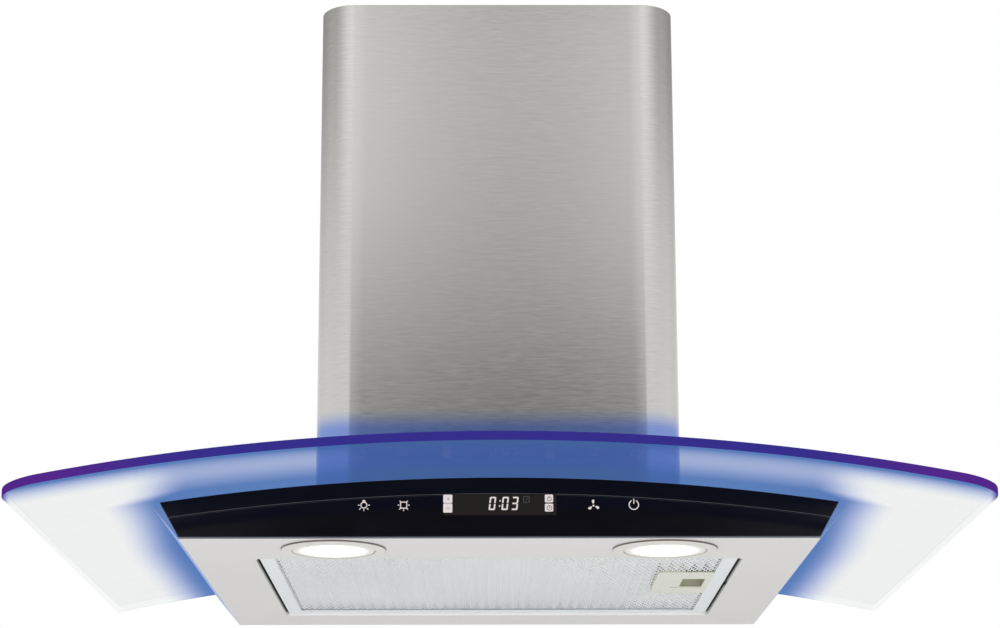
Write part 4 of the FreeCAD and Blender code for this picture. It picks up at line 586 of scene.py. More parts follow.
@dataclass(frozen=True)
class LitRim(Finish):
    """Ground edge of the canopy: indigo in the middle, purple at the corners, clear at the sides."""

    middle: Colour = (50, 43, 137)
    ends: Colour = (82, 34, 136)
    side: Colour = (250, 252, 251)

    def surface(self, bench: ShaderBench) -> bpy.types.Node:
        """Adds the nodes of the finish."""
        place = bench.axes()
        across = bench.math("ABSOLUTE", place["X"])
        front = bench.blend(bench.span(across, 0.17, 0.285, 0.0, 1.0, True), shade(self.middle),
                            shade(self.ends))
        back = bench.span(place["Y"], -0.470, -0.445, 0.0, 1.0, True)
        ground = bench.noise((1500.0,) * 3, 2.0)
        lit = bench.add("ShaderNodeBsdfPrincipled", {
            "Base Color": (0.004, 0.004, 0.01, 1.0), "Roughness": 0.5, "Specular IOR Level": 0.0,
            "Emission Color": front, "Emission Strength": 0.98, "Normal": bench.bump(ground, 0.1, 0.00002)})
        clear = bench.add("ShaderNodeBsdfTransparent", {0: shade(self.side)})
        mix = bench.add("ShaderNodeMixShader", {0: back, 1: lit.outputs[0], 2: clear.outputs[0]})
        return mix


@dataclass(frozen=True)
class Lit(Finish):
    """A lit plastic: its own light with a faint cell pattern of the lens."""

    colour: Colour
    strength: float
    cells: float = 900.0
    body: float = 1.0

    def surface(self, bench: ShaderBench) -> bpy.types.Node:
        """Adds the nodes of the finish."""
        lens = bench.add("ShaderNodeTexVoronoi", {"Vector": bench.place(), "Scale": self.cells})
        relief = bench.bump(lens.outputs["Distance"], 0.3, 0.0002)
        shader = bench.add("ShaderNodeBsdfPrincipled", {
            "Base Color": toned(shade(self.colour), self.body),
            "Roughness": 0.3, "Specular IOR Level": 0.3, "Emission Color": shade(self.colour),
            "Emission Strength": self.strength, "Normal": relief})
        return shader


@dataclass(frozen=True)
class CircuitBoard(Finish):
    """Green solder mask with copper tracks and drilled pads."""

    def surface(self, bench: ShaderBench) -> bpy.types.Node:
        """Adds the nodes of the finish."""
        tracks = bench.add("ShaderNodeTexBrick", {"Vector": bench.place(), "Scale": 210.0,
                                                  "Color1": (0.02, 0.11, 0.05, 1), "Color2": (0.03, 0.16, 0.08, 1),
                                                  "Mortar": (0.08, 0.3, 0.14, 1), "Mortar Size": 0.03})
        pads = bench.add("ShaderNodeTexVoronoi", {"Vector": bench.place(), "Scale": 260.0})
        pad = bench.span(pads.outputs["Distance"], 0.10, 0.14, 1.0, 0.0)
        colour = bench.blend(pad, tracks.outputs["Color"], (0.6, 0.55, 0.4, 1.0))
        shader = bench.add("ShaderNodeBsdfPrincipled", {"Base Color": colour, "Roughness": 0.35})
        return shader


class Palette:
    """All finishes of the hood, one material for each."""

    def __init__(self) -> None:
        """Builds every material once."""
        steel = (188, 187, 184)
        self.made: dict[str, bpy.types.Material] = {}
        for finish in (
                GlowSteel("chimney_steel", steel, 0.16, (110.0, 110.0, 1900.0), 0.085, 0.025, 0.03, stretch=0.5),
                BrushedMetal("upper_steel", steel, 0.16, (110.0, 110.0, 1900.0), 0.085, 0.025, 0.03, stretch=0.5),
                BrushedMetal("stainless_sheet", steel, 0.3),
                PanelSteel("panel_steel", (216, 215, 213), 0.42, (16.0, 1900.0, 1900.0), 0.02, 0.06, 0.02,
                           metallic=0.2),
                FrameAluminium("frame_aluminium", (227, 232, 234), 0.42, (900.0, 60.0, 900.0), 0.02, 0.05, 0.02,
                               metallic=0.2),
                BrushedMetal("aluminium_sheet", (227, 232, 234), 0.42, (900.0, 60.0, 900.0), 0.02, 0.05, 0.02,
                             metallic=0.2),
                BrushedMetal("aluminium_mesh", (250, 252, 252), 0.42, (900.0, 900.0, 900.0), 0.02, 0.05, 0.02,
                             metallic=0.1),
                BrushedMetal("aluminium_foil", (247, 250, 251), 0.4, (700.0, 30.0, 700.0), 0.1, 0.2, 0.06,
                             metallic=0.2),
                BrushedMetal("ring_steel", (217, 215, 211), 0.4, (300.0, 300.0, 300.0), 0.02, 0.0, 0.02,
                             metallic=0.2),
                # ring_wall: a dark tone that is painted shade on the outer wall of the lamp ring, in its joint with
                # the panel.
                BrushedMetal("ring_wall", (112, 103, 95), 0.35, (300.0, 300.0, 300.0), 0.05, 0.0, 0.05,
                             metallic=0.3),
                BrushedMetal("ring_groove", (176, 172, 166), 0.4, (300.0, 300.0, 300.0), 0.05, 0.0, 0.05,
                             metallic=0.2),
                BrushedMetal("spring_sheet", (170, 171, 172), 0.25, (900.0, 40.0, 900.0), 0.08),
                ZincPlate("zinc_plate"),
                BlackGlass("fascia_glass"),
                BlackGlass("fascia_edge", (66, 64, 68), 0.2),
                Moulded("black_moulding", (38, 38, 40), 0.5),
                Moulded("grey_moulding", (120, 122, 124), 0.5),
                LatchPlastic("ivory_moulding"),
                Moulded("black_rubber", (36, 36, 37), 0.75),
                Moulded("window_tint", (37, 33, 27), 0.3, mottle=0.03, specular=0.1),
                Lit("print_white", (226, 216, 213), 0.8, 2000.0, 0.2),
                Moulded("print_dark", (96, 93, 92), 0.5, mottle=0.02),
                Moulded("print_dim", (70, 68, 65), 0.5, mottle=0.02),
                Moulded("white_moulding", (226, 226, 222), 0.45, mottle=0.02),
                CircuitBoard("circuit_board"),
                Lit("strip_light", (92, 127, 186), 0.9, 300.0, 0.3),
                Lit("strip_tape", (210, 220, 245), 0.4, 300.0),
                Lit("lamp_light", (255, 255, 252), 2.2),
                GlowRim("lamp_rim"),
                CanopyGlass("canopy_underside"),
                ClearTop("canopy_top"),
                LitRim("canopy_rim"),
                LitRim("canopy_chamfer", side=(240, 240, 248))):
            self.made[finish.name] = finish.build()

    def __getitem__(self, name: str) -> bpy.types.Material:
        """Material of that name."""
        return self.made[name]


# ---------------------------------------------------------------- meshes
def new_object(name: str, mesh: bpy.types.Mesh) -> bpy.types.Object:
    """Object of that name in the scene, at the origin."""
    thing = bpy.data.objects.new(name, mesh)
    bpy.context.scene.collection.objects.link(thing)
    return thing


def from_bmesh(name: str, shape: bmesh.types.BMesh, materials: Sequence[bpy.types.Material],
               sharp_degrees: float = 35.0) -> bpy.types.Object:
    """Closes a bmesh into an object with smooth faces and sharp corners.

    Args:
        name: name of the object.
        shape: the finished bmesh; it is freed.
        materials: materials by face index.
        sharp_degrees: edges that turn more than this stay sharp.

    Returns:
        The object.
    """
    bmesh.ops.remove_doubles(shape, verts=shape.verts, dist=1e-6)
    bmesh.ops.recalc_face_normals(shape, faces=shape.faces)
    mesh = bpy.data.meshes.new(name)
    shape.to_mesh(mesh)
    shape.free()
    for material in materials:
        mesh.materials.append(material)
    mesh.shade_smooth()
    mesh.set_sharp_from_angle(angle=math.radians(sharp_degrees))
    return new_object(name, mesh)


def baked(thing: bpy.types.Object) -> bpy.types.Object:
    """Replaces an object's mesh by its evaluated one and drops the modifiers."""
    graph = bpy.context.evaluated_depsgraph_get()
    mesh = bpy.data.meshes.new_from_object(thing.evaluated_get(graph))
    mesh.name = thing.name
    thing.modifiers.clear()
    thing.data = mesh
    return thing


def bridged(shape: bmesh.types.BMesh, rows: Sequence[Sequence[bmesh.types.BMVert]]) -> None:
    """Walls a bar between rows of four corners and caps both ends."""
    for near, far in zip(rows, rows[1:]):
        for index in range(4):
            following = (index + 1) % 4
            shape.faces.new([near[index], near[following], far[following], far[index]])
    shape.faces.new(rows[0])
    shape.faces.new(rows[-1][::-1])


def bevelled(thing: bpy.types.Object, width: float, segments: int = 2, degrees: float = 40.0) -> bpy.types.Object:
    """Rounds the sharp edges of an object by a bevel, applied at once."""
    bevel = thing.modifiers.new("edge", "BEVEL")
    bevel.width = width
    bevel.segments = segments
    bevel.limit_method = "ANGLE"
    bevel.angle_limit = math.radians(degrees)
    bevel.harden_normals = False
    return baked(thing)


def settle(thing: bpy.types.Object, body: Body, slot: Slot, *nodes: str) -> bpy.types.Object:
    """Hands a finished piece over: puts it on its body and hides the solids it stands for."""
    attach(thing, body.value)
    if nodes:
        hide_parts(*nodes)
    LOG.info("%s on %s, %d faces", thing.name, body.value, len(thing.data.polygons))
    return thing


def turned(name: str, outline: Sequence[tuple[float, float, int]], centre: Vector,
           materials: Sequence[bpy.types.Material], steps: int = 96) -> bpy.types.Object:
    """Turns an outline about an upright axis.

    Args:
        name: name of the object.
        outline: radius and height in metres, and the material of the band that starts there.
        centre: a point of the axis; heights count from it.
        materials: materials by number.
        steps: corners of a full circle.

    Returns:
        The object.
    """
    shape = bmesh.new()
    rings = []
    for radius, height, _ in outline:
        if radius == 0.0:
            rings.append([shape.verts.new(centre + Vector((0, 0, height)))] * steps)
            continue
        turns = [2 * math.pi * step / steps for step in range(steps)]
        rings.append([shape.verts.new(centre + Vector((radius * math.cos(t), radius * math.sin(t), height)))
                      for t in turns])
    count = len(rings)
    closed = outline[0][0] > 0.0
    for index in range(count if closed else count - 1):
        near, far = rings[index], rings[(index + 1) % count]
        for step in range(steps):
            following = (step + 1) % steps
            corners = [near[step], near[following], far[following], far[step]]
            face = shape.faces.new(list(dict.fromkeys(corners)))
            face.material_index = outline[index][2]
    return from_bmesh(name, shape, materials)


@dataclass
class Arch:
    """The curve of the canopy: heights above the row's origin, in metres."""

    radius: float = 1.473
    underside: float = -0.150
    crown: float = 0.041

    def z(self, x: float, offset: float = 0.0) -> float:
        """Height over the point x of the curve that lies offset above the glass underside."""
        centre = self.underside + self.crown - self.radius
        return centre + math.sqrt((self.radius + offset) ** 2 - x ** 2)


ARCH = Arch()


def arc_points(centre: Point, radius: float, start: float, end: float, steps: int) -> list[Point]:
    """Points of an arc, angles in degrees, both ends included."""
    turns = [math.radians(start + (end - start) * step / steps) for step in range(steps + 1)]
    return [(centre[0] + radius * math.cos(t), centre[1] + radius * math.sin(t)) for t in turns]


# ---------------------------------------------------------------- canopy
@dataclass
class Canopy:
    """The curved glass with its lit edge."""

    palette: Palette
    width: float = 0.600
    depth: float = 0.492
    thick: float = 0.006
    corner: float = 0.025
    notch_half: float = 0.121
    notch_depth: float = 0.220
    notch_corner: float = 0.003
    fixing_x: float = 0.199
    fixing_rows: tuple[float, float] = (-0.300, -0.040)
    fixing_hole: float = 0.005
    chamfer: float = 0.0008
    strip: float = 0.006

    def outline(self) -> list[list[Point]]:
        """Plan of the glass: its outer line with the notch, and the four holes."""
        half, deep, corner = self.width / 2, -self.depth, self.corner
        outer = [(half, 0.0), (self.notch_half, 0.0)]
        small = self.notch_corner
        outer += arc_points((self.notch_half - small, -self.notch_depth + small), small, 0, -90, 4)
        outer += arc_points((-self.notch_half + small, -self.notch_depth + small), small, -90, -180, 4)
        outer += [(-self.notch_half, 0.0), (-half, 0.0)]
        outer += arc_points((-half + corner, deep + corner), corner, 180, 270, 14)
        outer += arc_points((half - corner, deep + corner), corner, 270, 360, 14)
        holes = [arc_points((side.value * self.fixing_x, row), self.fixing_hole, 0, 345, 23)
                 for side in Side for row in self.fixing_rows]
        return [outer] + holes

    def slab(self) -> bmesh.types.BMesh:
        """Flat slab of the plan with small chamfers, cut into narrow strips."""
        curve = bpy.data.curves.new("canopy_plan", "CURVE")
        curve.dimensions = "2D"
        curve.fill_mode = "BOTH"
        curve.extrude = self.thick / 2 - self.chamfer
        curve.bevel_depth = self.chamfer
        curve.bevel_resolution = 1
        curve.offset = -self.chamfer
        for loop in self.outline():
            spline = curve.splines.new("POLY")
            spline.points.add(len(loop) - 1)
            for point, (x, y) in zip(spline.points, loop):
                point.co = (x, y, 0.0, 1.0)
            spline.use_cyclic_u = True
        flat = bpy.data.objects.new("canopy_plan", curve)
        bpy.context.scene.collection.objects.link(flat)
        graph = bpy.context.evaluated_depsgraph_get()
        mesh = bpy.data.meshes.new_from_object(flat.evaluated_get(graph))
        bpy.data.objects.remove(flat)
        shape = bmesh.new()
        shape.from_mesh(mesh)
        bpy.data.meshes.remove(mesh)
        count = int(self.width / 2 / self.strip)
        for step in range(-count, count + 1):
            everything = shape.verts[:] + shape.edges[:] + shape.faces[:]
            bmesh.ops.bisect_plane(shape, geom=everything, dist=1e-7,
                                   plane_co=(step * self.strip, 0, 0), plane_no=(1, 0, 0))
        return shape

    def glass(self) -> bpy.types.Object:
        """Bends the slab along the arch and tells its faces apart."""
        shape = self.slab()
        bmesh.ops.remove_doubles(shape, verts=shape.verts, dist=2e-6)
        bmesh.ops.recalc_face_normals(shape, faces=shape.faces)
        for face in shape.faces:
            upright = face.normal.z
            face.material_index = (2 if abs(upright) < 0.3 else 3) if abs(upright) < 0.9 else int(upright > 0)
        for vert in shape.verts:
            vert.co.z = ARCH.z(vert.co.x) + vert.co.z + self.thick / 2
        names = ("canopy_underside", "canopy_top", "canopy_rim", "canopy_chamfer")
        return from_bmesh("canopy", shape, [self.palette[name] for name in names], 50.0)

    def build(self) -> None:
        """Makes the glass."""
        settle(self.glass(), Body.HOOD, Slot.CLEAR_GLASS, "glass_canopy")


# ---------------------------------------------------------------- chimney
@dataclass
class ChimneyCover:
    """One open-backed cover with rounded front corners."""

    palette: Palette
    name: str
    node: str
    body: Body
    sheet: float
    corner: float
    on_glass: bool
    arc_steps: int = 18
    rise: float = 0.0063

    def build(self) -> None:
        """Makes the cover in the box of its solid."""
        low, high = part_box(self.node)
        half, front, back = high.x, low.y, high.y

        def wall(inset: float) -> list[Point]:
            """Line of the outer or inner face in plan, from the back left to the back right."""
            reach, nose, radius = half - inset, front + inset, self.corner - inset
            line = [(-reach, back)]
            line += arc_points((-reach + radius, nose + radius), radius, 180, 270, self.arc_steps)
            middle = [(-reach + radius + (2 * (reach - radius)) * step / 24, nose) for step in range(1, 24)]
            line += middle
            line += arc_points((reach - radius, nose + radius), radius, 270, 360, self.arc_steps)
            return line + [(reach, back)]

        shape = bmesh.new()
        outer, inner = wall(0.0), wall(self.sheet)
        rows = []
        for (x, y), (a, b) in zip(outer, inner):
            foot = ARCH.z(x, self.rise) if self.on_glass else low.z
            foot_inner = ARCH.z(a, self.rise) if self.on_glass else low.z
            rows.append([shape.verts.new((x, y, foot)), shape.verts.new((x, y, high.z)),
                         shape.verts.new((a, b, high.z)), shape.verts.new((a, b, foot_inner))])
        bridged(shape, rows)
        cover = from_bmesh(self.name, shape, [self.palette["chimney_steel" if self.on_glass else "upper_steel"]])
        bevelled(cover, 0.0002, 1, 60.0)
        settle(cover, self.body, Slot.STAINLESS, self.node)


# ---------------------------------------------------------------- fascia
@dataclass
class Fascia:
    """Black glass front with its printed icons, keys and clock."""

    palette: Palette
    front: float = -0.3864
    thick: float = 0.004
    bottom_half: float = 0.203
    top_half: float = 0.217
    joint: float = 0.0117
    line: float = 0.0004
    top_gap: float = 0.001
    foot: float = 0.0016
    edge: float = 0.00035
    print_thick: float = 0.00012

    def half_at(self, z: float) -> float:
        """Half width of the slanted ends at a height above the row's origin."""
        rise = ARCH.z(self.top_half) - ARCH.underside
        return self.bottom_half + (self.top_half - self.bottom_half) * (z - ARCH.underside) / rise

    def end_of(self, offset: float) -> float:
        """Half width where a slanted end meets the arch at that offset."""
        x = self.top_half
        for _ in range(12):
            x = self.half_at(ARCH.z(x, offset))
        return x

    def panel(self, name: str, node: str, low: float | None, high: float) -> None:
        """One glass panel between two lines.

        Args:
            name: name of the piece.
            node: solid that it stands for.
            low: offset of the lower arch, or None for the level foot.
            high: offset of the upper arch.
        """
        steps = 72
        shape = bmesh.new()
        foot_z = ARCH.underside + self.foot
        low_half = self.half_at(foot_z) if low is None else self.end_of(low)
        high_half = self.end_of(high)
        rows = []
        for step in range(steps + 1):
            share = 2.0 * step / steps - 1.0
            x0, x1 = share * low_half, share * high_half
            z0 = foot_z if low is None else ARCH.z(x0, low)
            z1 = ARCH.z(x1, high)
            rows.append([shape.verts.new((x, y, z)) for x, y, z in (
                (x0, self.front, z0), (x1, self.front, z1),
                (x1, self.front + self.thick, z1), (x0, self.front + self.thick, z0))])
        bridged(shape, rows)
        glass = from_bmesh(name, shape, [self.palette["fascia_glass"], self.palette["fascia_edge"]])
        bevelled(glass, self.edge, 2, 50.0)
        for face in glass.data.polygons:
            if face.normal.y > -0.95 and face.center.y < self.front + self.edge * 1.2:
                face.material_index = 1
        settle(glass, Body.HOOD, Slot.BLACK_GLASS, node)

    def build(self) -> None:
        """Makes both panels and the print on them."""
        self.panel("fascia_panel", "control_fascia", None, -self.joint - self.line)
        self.panel("fascia_strip", "fascia_upper_strip", -self.joint, -self.top_gap)
        FasciaPrint(self.palette, self.front, self.print_thick).build()


class PrintSheet:
    """Flat outlines on the fascia, gathered into one thin mesh. Plan points are in millimetres:
    to the right of the middle, and above the underside."""

    def __init__(self, front: float, thick: float) -> None:
        """Starts an empty sheet.

        Args:
            front: Y of the face that carries the print.
            thick: how far the print stands in front of it.
        """
        self.front = front
        self.thick = thick
        self.shape = bmesh.new()

    def plate(self, outline: Sequence[Point]) -> None:
        """Adds one closed outline as a thin plate."""
        verts = [[self.shape.verts.new((x * MM, y, ARCH.underside + z * MM)) for x, z in outline]
                 for y in (self.front - self.thick, self.front + self.thick * 0.3)]
        self.shape.faces.new(verts[0])
        self.shape.faces.new(verts[1][::-1])
        count = len(outline)
        for index in range(count):
            following = (index + 1) % count
            self.shape.faces.new([verts[0][index], verts[0][following], verts[1][following], verts[1][index]])

    def stroke(self, points: Sequence[Point], width: float) -> None:
        """Adds a line of even width through the points, each run its own plate."""
        for (x0, z0), (x1, z1) in zip(points, points[1:]):
            length = math.hypot(x1 - x0, z1 - z0)
            a, b = -(z1 - z0) / length * width / 2, (x1 - x0) / length * width / 2
            self.plate([(x0 + a, z0 + b), (x1 + a, z1 + b), (x1 - a, z1 - b), (x0 - a, z0 - b)])

    def band(self, centre: Point, radius: float, width: float, start: float, end: float, steps: int) -> None:
        """Adds an arc of even width."""
        outer = arc_points(centre, radius + width / 2, start, end, steps)
        inner = arc_points(centre, radius - width / 2, start, end, steps)
        for index in range(steps):
            self.plate([outer[index], outer[index + 1], inner[index + 1], inner[index]])

    def rounded(self, x0: float, x1: float, z0: float, z1: float, radius: float) -> list[Point]:
        """Outline of a rectangle with rounded corners."""
        line: list[Point] = []
        for cx, cz, start in ((x1 - radius, z1 - radius, 0), (x0 + radius, z1 - radius, 90),
                              (x0 + radius, z0 + radius, 180), (x1 - radius, z0 + radius, 270)):
            line += arc_points((cx, cz), radius, start, start + 90, 5)
        return line

    def finish(self, name: str, material: bpy.types.Material, slot: Slot) -> None:
        """Closes the sheet into a piece of the hood."""
        mesh = bpy.data.meshes.new(name)
        bmesh.ops.recalc_face_normals(self.shape, faces=self.shape.faces)
        self.shape.to_mesh(mesh)
        self.shape.free()
        mesh.materials.append(material)
        settle(new_object(name, mesh), Body.HOOD, slot)


@dataclass
class FasciaPrint:
    """Icons of the four big keys, the four small keys and the lit clock. Sizes in millimetres."""

    palette: Palette
    front: float
    thick: float
    icon_height: float = 22.0
    icon_x: tuple[float, float, float, float] = (-86.4, -61.1, 59.8, 85.5)
    icon_line: float = 0.62
    window: tuple[float, float, float, float] = (-35.9, 36.2, 15.5, 29.1)
    digit_places: tuple[float, float, float] = (-7.1, 1.0, 7.2)
    digit_low: float = 18.7
    digit_high: float = 27.3
    digit_width: float = 4.1
    digit_line: float = 1.0
    slant: float = 0.11
    segments: dict[str, str] = field(default_factory=lambda: {"0": "abcdef", "3": "abcdg"})

    def rays(self, sheet: PrintSheet, x: float) -> None:
        """Five short rays round the lower half of a lamp icon."""
        for degrees in (180, 225, 270, 315, 360):
            turn = math.radians(degrees)
            start, end = (2.75, 3.75) if degrees % 90 == 0 else (2.8, 4.0)
            sheet.stroke([(x + start * math.cos(turn), self.icon_height + start * math.sin(turn)),
                          (x + end * math.cos(turn), self.icon_height + end * math.sin(turn))],
                         self.icon_line * 0.95)

    def lamp_icons(self, sheet: PrintSheet) -> None:
        """Round lamp and square lamp."""
        x, z, line = self.icon_x[0], self.icon_height, self.icon_line
        sheet.band((x, z), 1.9, line, 0, 360, 28)
        sheet.plate([(x - 1.0, z + 1.9), (x + 1.0, z + 1.9), (x + 0.75, z + 3.3), (x - 0.75, z + 3.3)])
        self.rays(sheet, x)
        x = self.icon_x[1]
        reach = 1.95
        sheet.stroke([(x - reach, z - reach), (x + reach, z - reach)], line)
        sheet.stroke([(x - reach, z + reach), (x + reach, z + reach)], line)
        for side in Side:
            edge = x + side.value * reach
            sheet.stroke([(edge, z - reach - line / 2), (edge, z + reach + line / 2)], line)
            sheet.stroke([(edge, z + 2.6), (edge + side.value * 0.8, z + 2.6)], line * 0.8)
        self.rays(sheet, x)

    def fan_icon(self, sheet: PrintSheet) -> None:
        """Three rounded blades round a hub."""
        x, z = self.icon_x[2], self.icon_height - 0.5
        for blade in range(3):
            turn = math.radians(90 + 120 * blade)
            outline = []
            for step in range(16):
                t = 2 * math.pi * step / 16
                along, across = 2.55 + 1.35 * math.cos(t), (0.78 + 0.28 * math.cos(t)) * math.sin(t)
                across += 0.30 * math.sin((along - 1.2) * 1.1)
                outline.append((x + along * math.cos(turn) - across * math.sin(turn),
                                z + along * math.sin(turn) + across * math.cos(turn)))
            sheet.plate(outline)
        sheet.plate(arc_points((x, z), 0.62, 0, 330, 11))

    def power_icon(self, sheet: PrintSheet) -> None:
        """Open ring with a bar."""
        x, z = self.icon_x[3], self.icon_height
        sheet.band((x, z), 3.0, self.icon_line, 118, 422, 36)
        sheet.stroke([(x, z + 0.7), (x, z + 3.9)], self.icon_line)

    def keys(self) -> None:
        """Four small pale keys beside the clock with their marks."""
        sheet = PrintSheet(self.front, self.thick * 2)
        places = [(-35.9, -30.1, 23.3, 28.7), (-35.9, -30.1, 17.1, 23.0),
                  (28.8, 34.1, 23.6, 28.7), (28.8, 34.1, 17.7, 22.8)]
        for x0, x1, z0, z1 in places:
            sheet.plate(sheet.rounded(x0, x1, z0, z1, 0.7))
        sheet.finish("fascia_keys", self.palette["print_white"], Slot.LAMP_WHITE)
        marks = PrintSheet(self.front, self.thick * 3)
        marks.stroke([(-33.4, 25.9), (-32.1, 25.9)], 0.35)
        marks.stroke([(-32.75, 25.3), (-32.75, 26.5)], 0.35)
        marks.stroke([(-33.6, 19.9), (-31.9, 19.9)], 0.35)
        marks.band((31.7, 20.0), 1.5, 0.4, 0, 360, 20)
        marks.stroke([(31.7, 21.0), (31.7, 20.0), (32.6, 20.0)], 0.35)
        for start, end in (((30.6, 24.8), (30.6, 26.6)), ((32.8, 24.8), (32.8, 26.6)),
                           ((30.4, 24.8), (33.0, 24.8)), ((30.4, 26.6), (33.0, 26.6)),
                           ((31.1, 27.3), (32.3, 27.3))):
            marks.stroke([start, end], 0.35)
        marks.finish("fascia_key_marks", self.palette["print_dark"], Slot.BLACK_PLASTIC)

    def clock(self, sheet: PrintSheet) -> None:
        """The time in slanted seven-part digits."""
        low, high, wide, line = self.digit_low, self.digit_high, self.digit_width, self.digit_line
        middle, gap = (low + high) / 2, line * 0.16

        def lean(x: float, z: float) -> Point:
            """Shifts a point sideways with its height."""
            return (x + (z - low) * self.slant, z)

        for text, x in zip("003", self.digit_places):
            half = line / 2
            level = {"a": high - half, "g": middle, "d": low + half}
            upright = {"f": (x + half, middle, high), "e": (x + half, low, middle),
                       "b": (x + wide - half, middle, high), "c": (x + wide - half, low, middle)}
            for part in self.segments[text]:
                if part in level:
                    z = level[part]
                    sheet.plate([lean(x + line * 0.35 + gap, z - half), lean(x + wide - line * 0.35 - gap, z - half),
                                 lean(x + wide - line * 0.35 - gap, z + half), lean(x + line * 0.35 + gap, z + half)])
                else:
                    px, z0, z1 = upright[part]
                    sheet.plate([lean(px - half, z0 + gap * 2), lean(px + half, z0 + gap * 2),
                                 lean(px + half, z1 - gap * 2), lean(px - half, z1 - gap * 2)])
        for z in (middle - 1.7, middle + 1.7):
            x = self.digit_places[1] - 1.35
            sheet.plate([lean(x - 0.4, z - 0.45), lean(x + 0.4, z - 0.45), lean(x + 0.4, z + 0.45),
                         lean(x - 0.4, z + 0.45)])

    def build(self) -> None:
        """Makes the window, icons, clock and keys."""
        window = PrintSheet(self.front, self.thick * 0.5)
        x0, x1, z0, z1 = self.window
        window.plate([(x0, z0), (x1, z0), (x1, z1), (x0, z1)])
        window.finish("display_window", self.palette["window_tint"], Slot.DARK_WINDOW)
        icons = PrintSheet(self.front, self.thick)
        self.lamp_icons(icons)
        self.fan_icon(icons)
        self.power_icon(icons)
        self.clock(icons)
        icons.finish("fascia_icons", self.palette["print_white"], Slot.LAMP_WHITE)
        dim = PrintSheet(self.front, self.thick)
        for start, end in (((15.1, 23.6), (18.8, 23.6)), ((15.3, 27.5), (19.0, 27.5)),
                           ((15.2, 23.6), (15.4, 27.5)), ((18.7, 23.6), (18.9, 27.5)),
                           ((16.4, 24.9), (17.8, 26.3))):
            dim.stroke([start, end], 0.5)
        dim.finish("display_timer_mark", self.palette["print_dim"], Slot.GREY_PLASTIC)
        self.keys()


# ---------------------------------------------------------------- lamps
@dataclass
class Lamp:
    """A round lamp: pressed ring, lens and the lit disc behind it."""

    palette: Palette
    side: Side
    x: float = 0.1076
    y: float = -0.351
    ring: float = 0.0341
    bore: float = 0.027
    proud: float = 0.0018
    tube: float = 0.0287
    lit: float = 0.021

    def build(self) -> None:
        """Makes the ring and the lens."""
        name = self.side.name.lower()
        centre = Vector((self.side.value * self.x, self.y, ARCH.underside))
        ring, bore, proud = self.ring, self.bore, self.proud
        # Band 1 is ring_wall, painted shade on the outer wall of the ring.
        outline = [(bore, 0.004, 1), (bore, -proud + 0.0009, 2), (bore, -proud + 0.0002, 2),
                   (bore + 0.0002, -proud, 0), (bore + 0.0010, -proud, 0),
                   (ring - 0.0014, -proud * 0.72, 0), (ring - 0.0004, -proud * 0.58, 1),
                   (ring, -proud * 0.42, 1), (ring, -0.00002, 0), (self.tube, -0.00002, 0), (self.tube, 0.004, 0)]
        dress = [self.palette[tone] for tone in ("ring_steel", "ring_wall", "ring_groove")]
        bezel = turned("lamp_ring_" + name, outline, centre, dress)
        settle(bezel, Body.HOOD, Slot.BRIGHT_RING, "lamp_bezel_" + name)
        rim, face = bore - 0.0003, -proud + 0.0001
        lens = [(0.0, face, 0), (self.lit * 0.9, face, 0), (self.lit, face + 0.00005, 1),
                (self.lit + 0.0012, face + 0.00005, 1), (rim - 0.0003, face + 0.00005, 1), (rim, face + 0.0003, 2),
                (rim, 0.002, 1), (0.0, 0.002, 1)]
        glass = turned("lamp_glass_" + name, lens, centre,
                       [self.palette["lamp_light"], self.palette["lamp_rim"], self.palette["ring_groove"]])
        settle(glass, Body.HOOD, Slot.LAMP_WHITE, "lamp_lens_" + name)


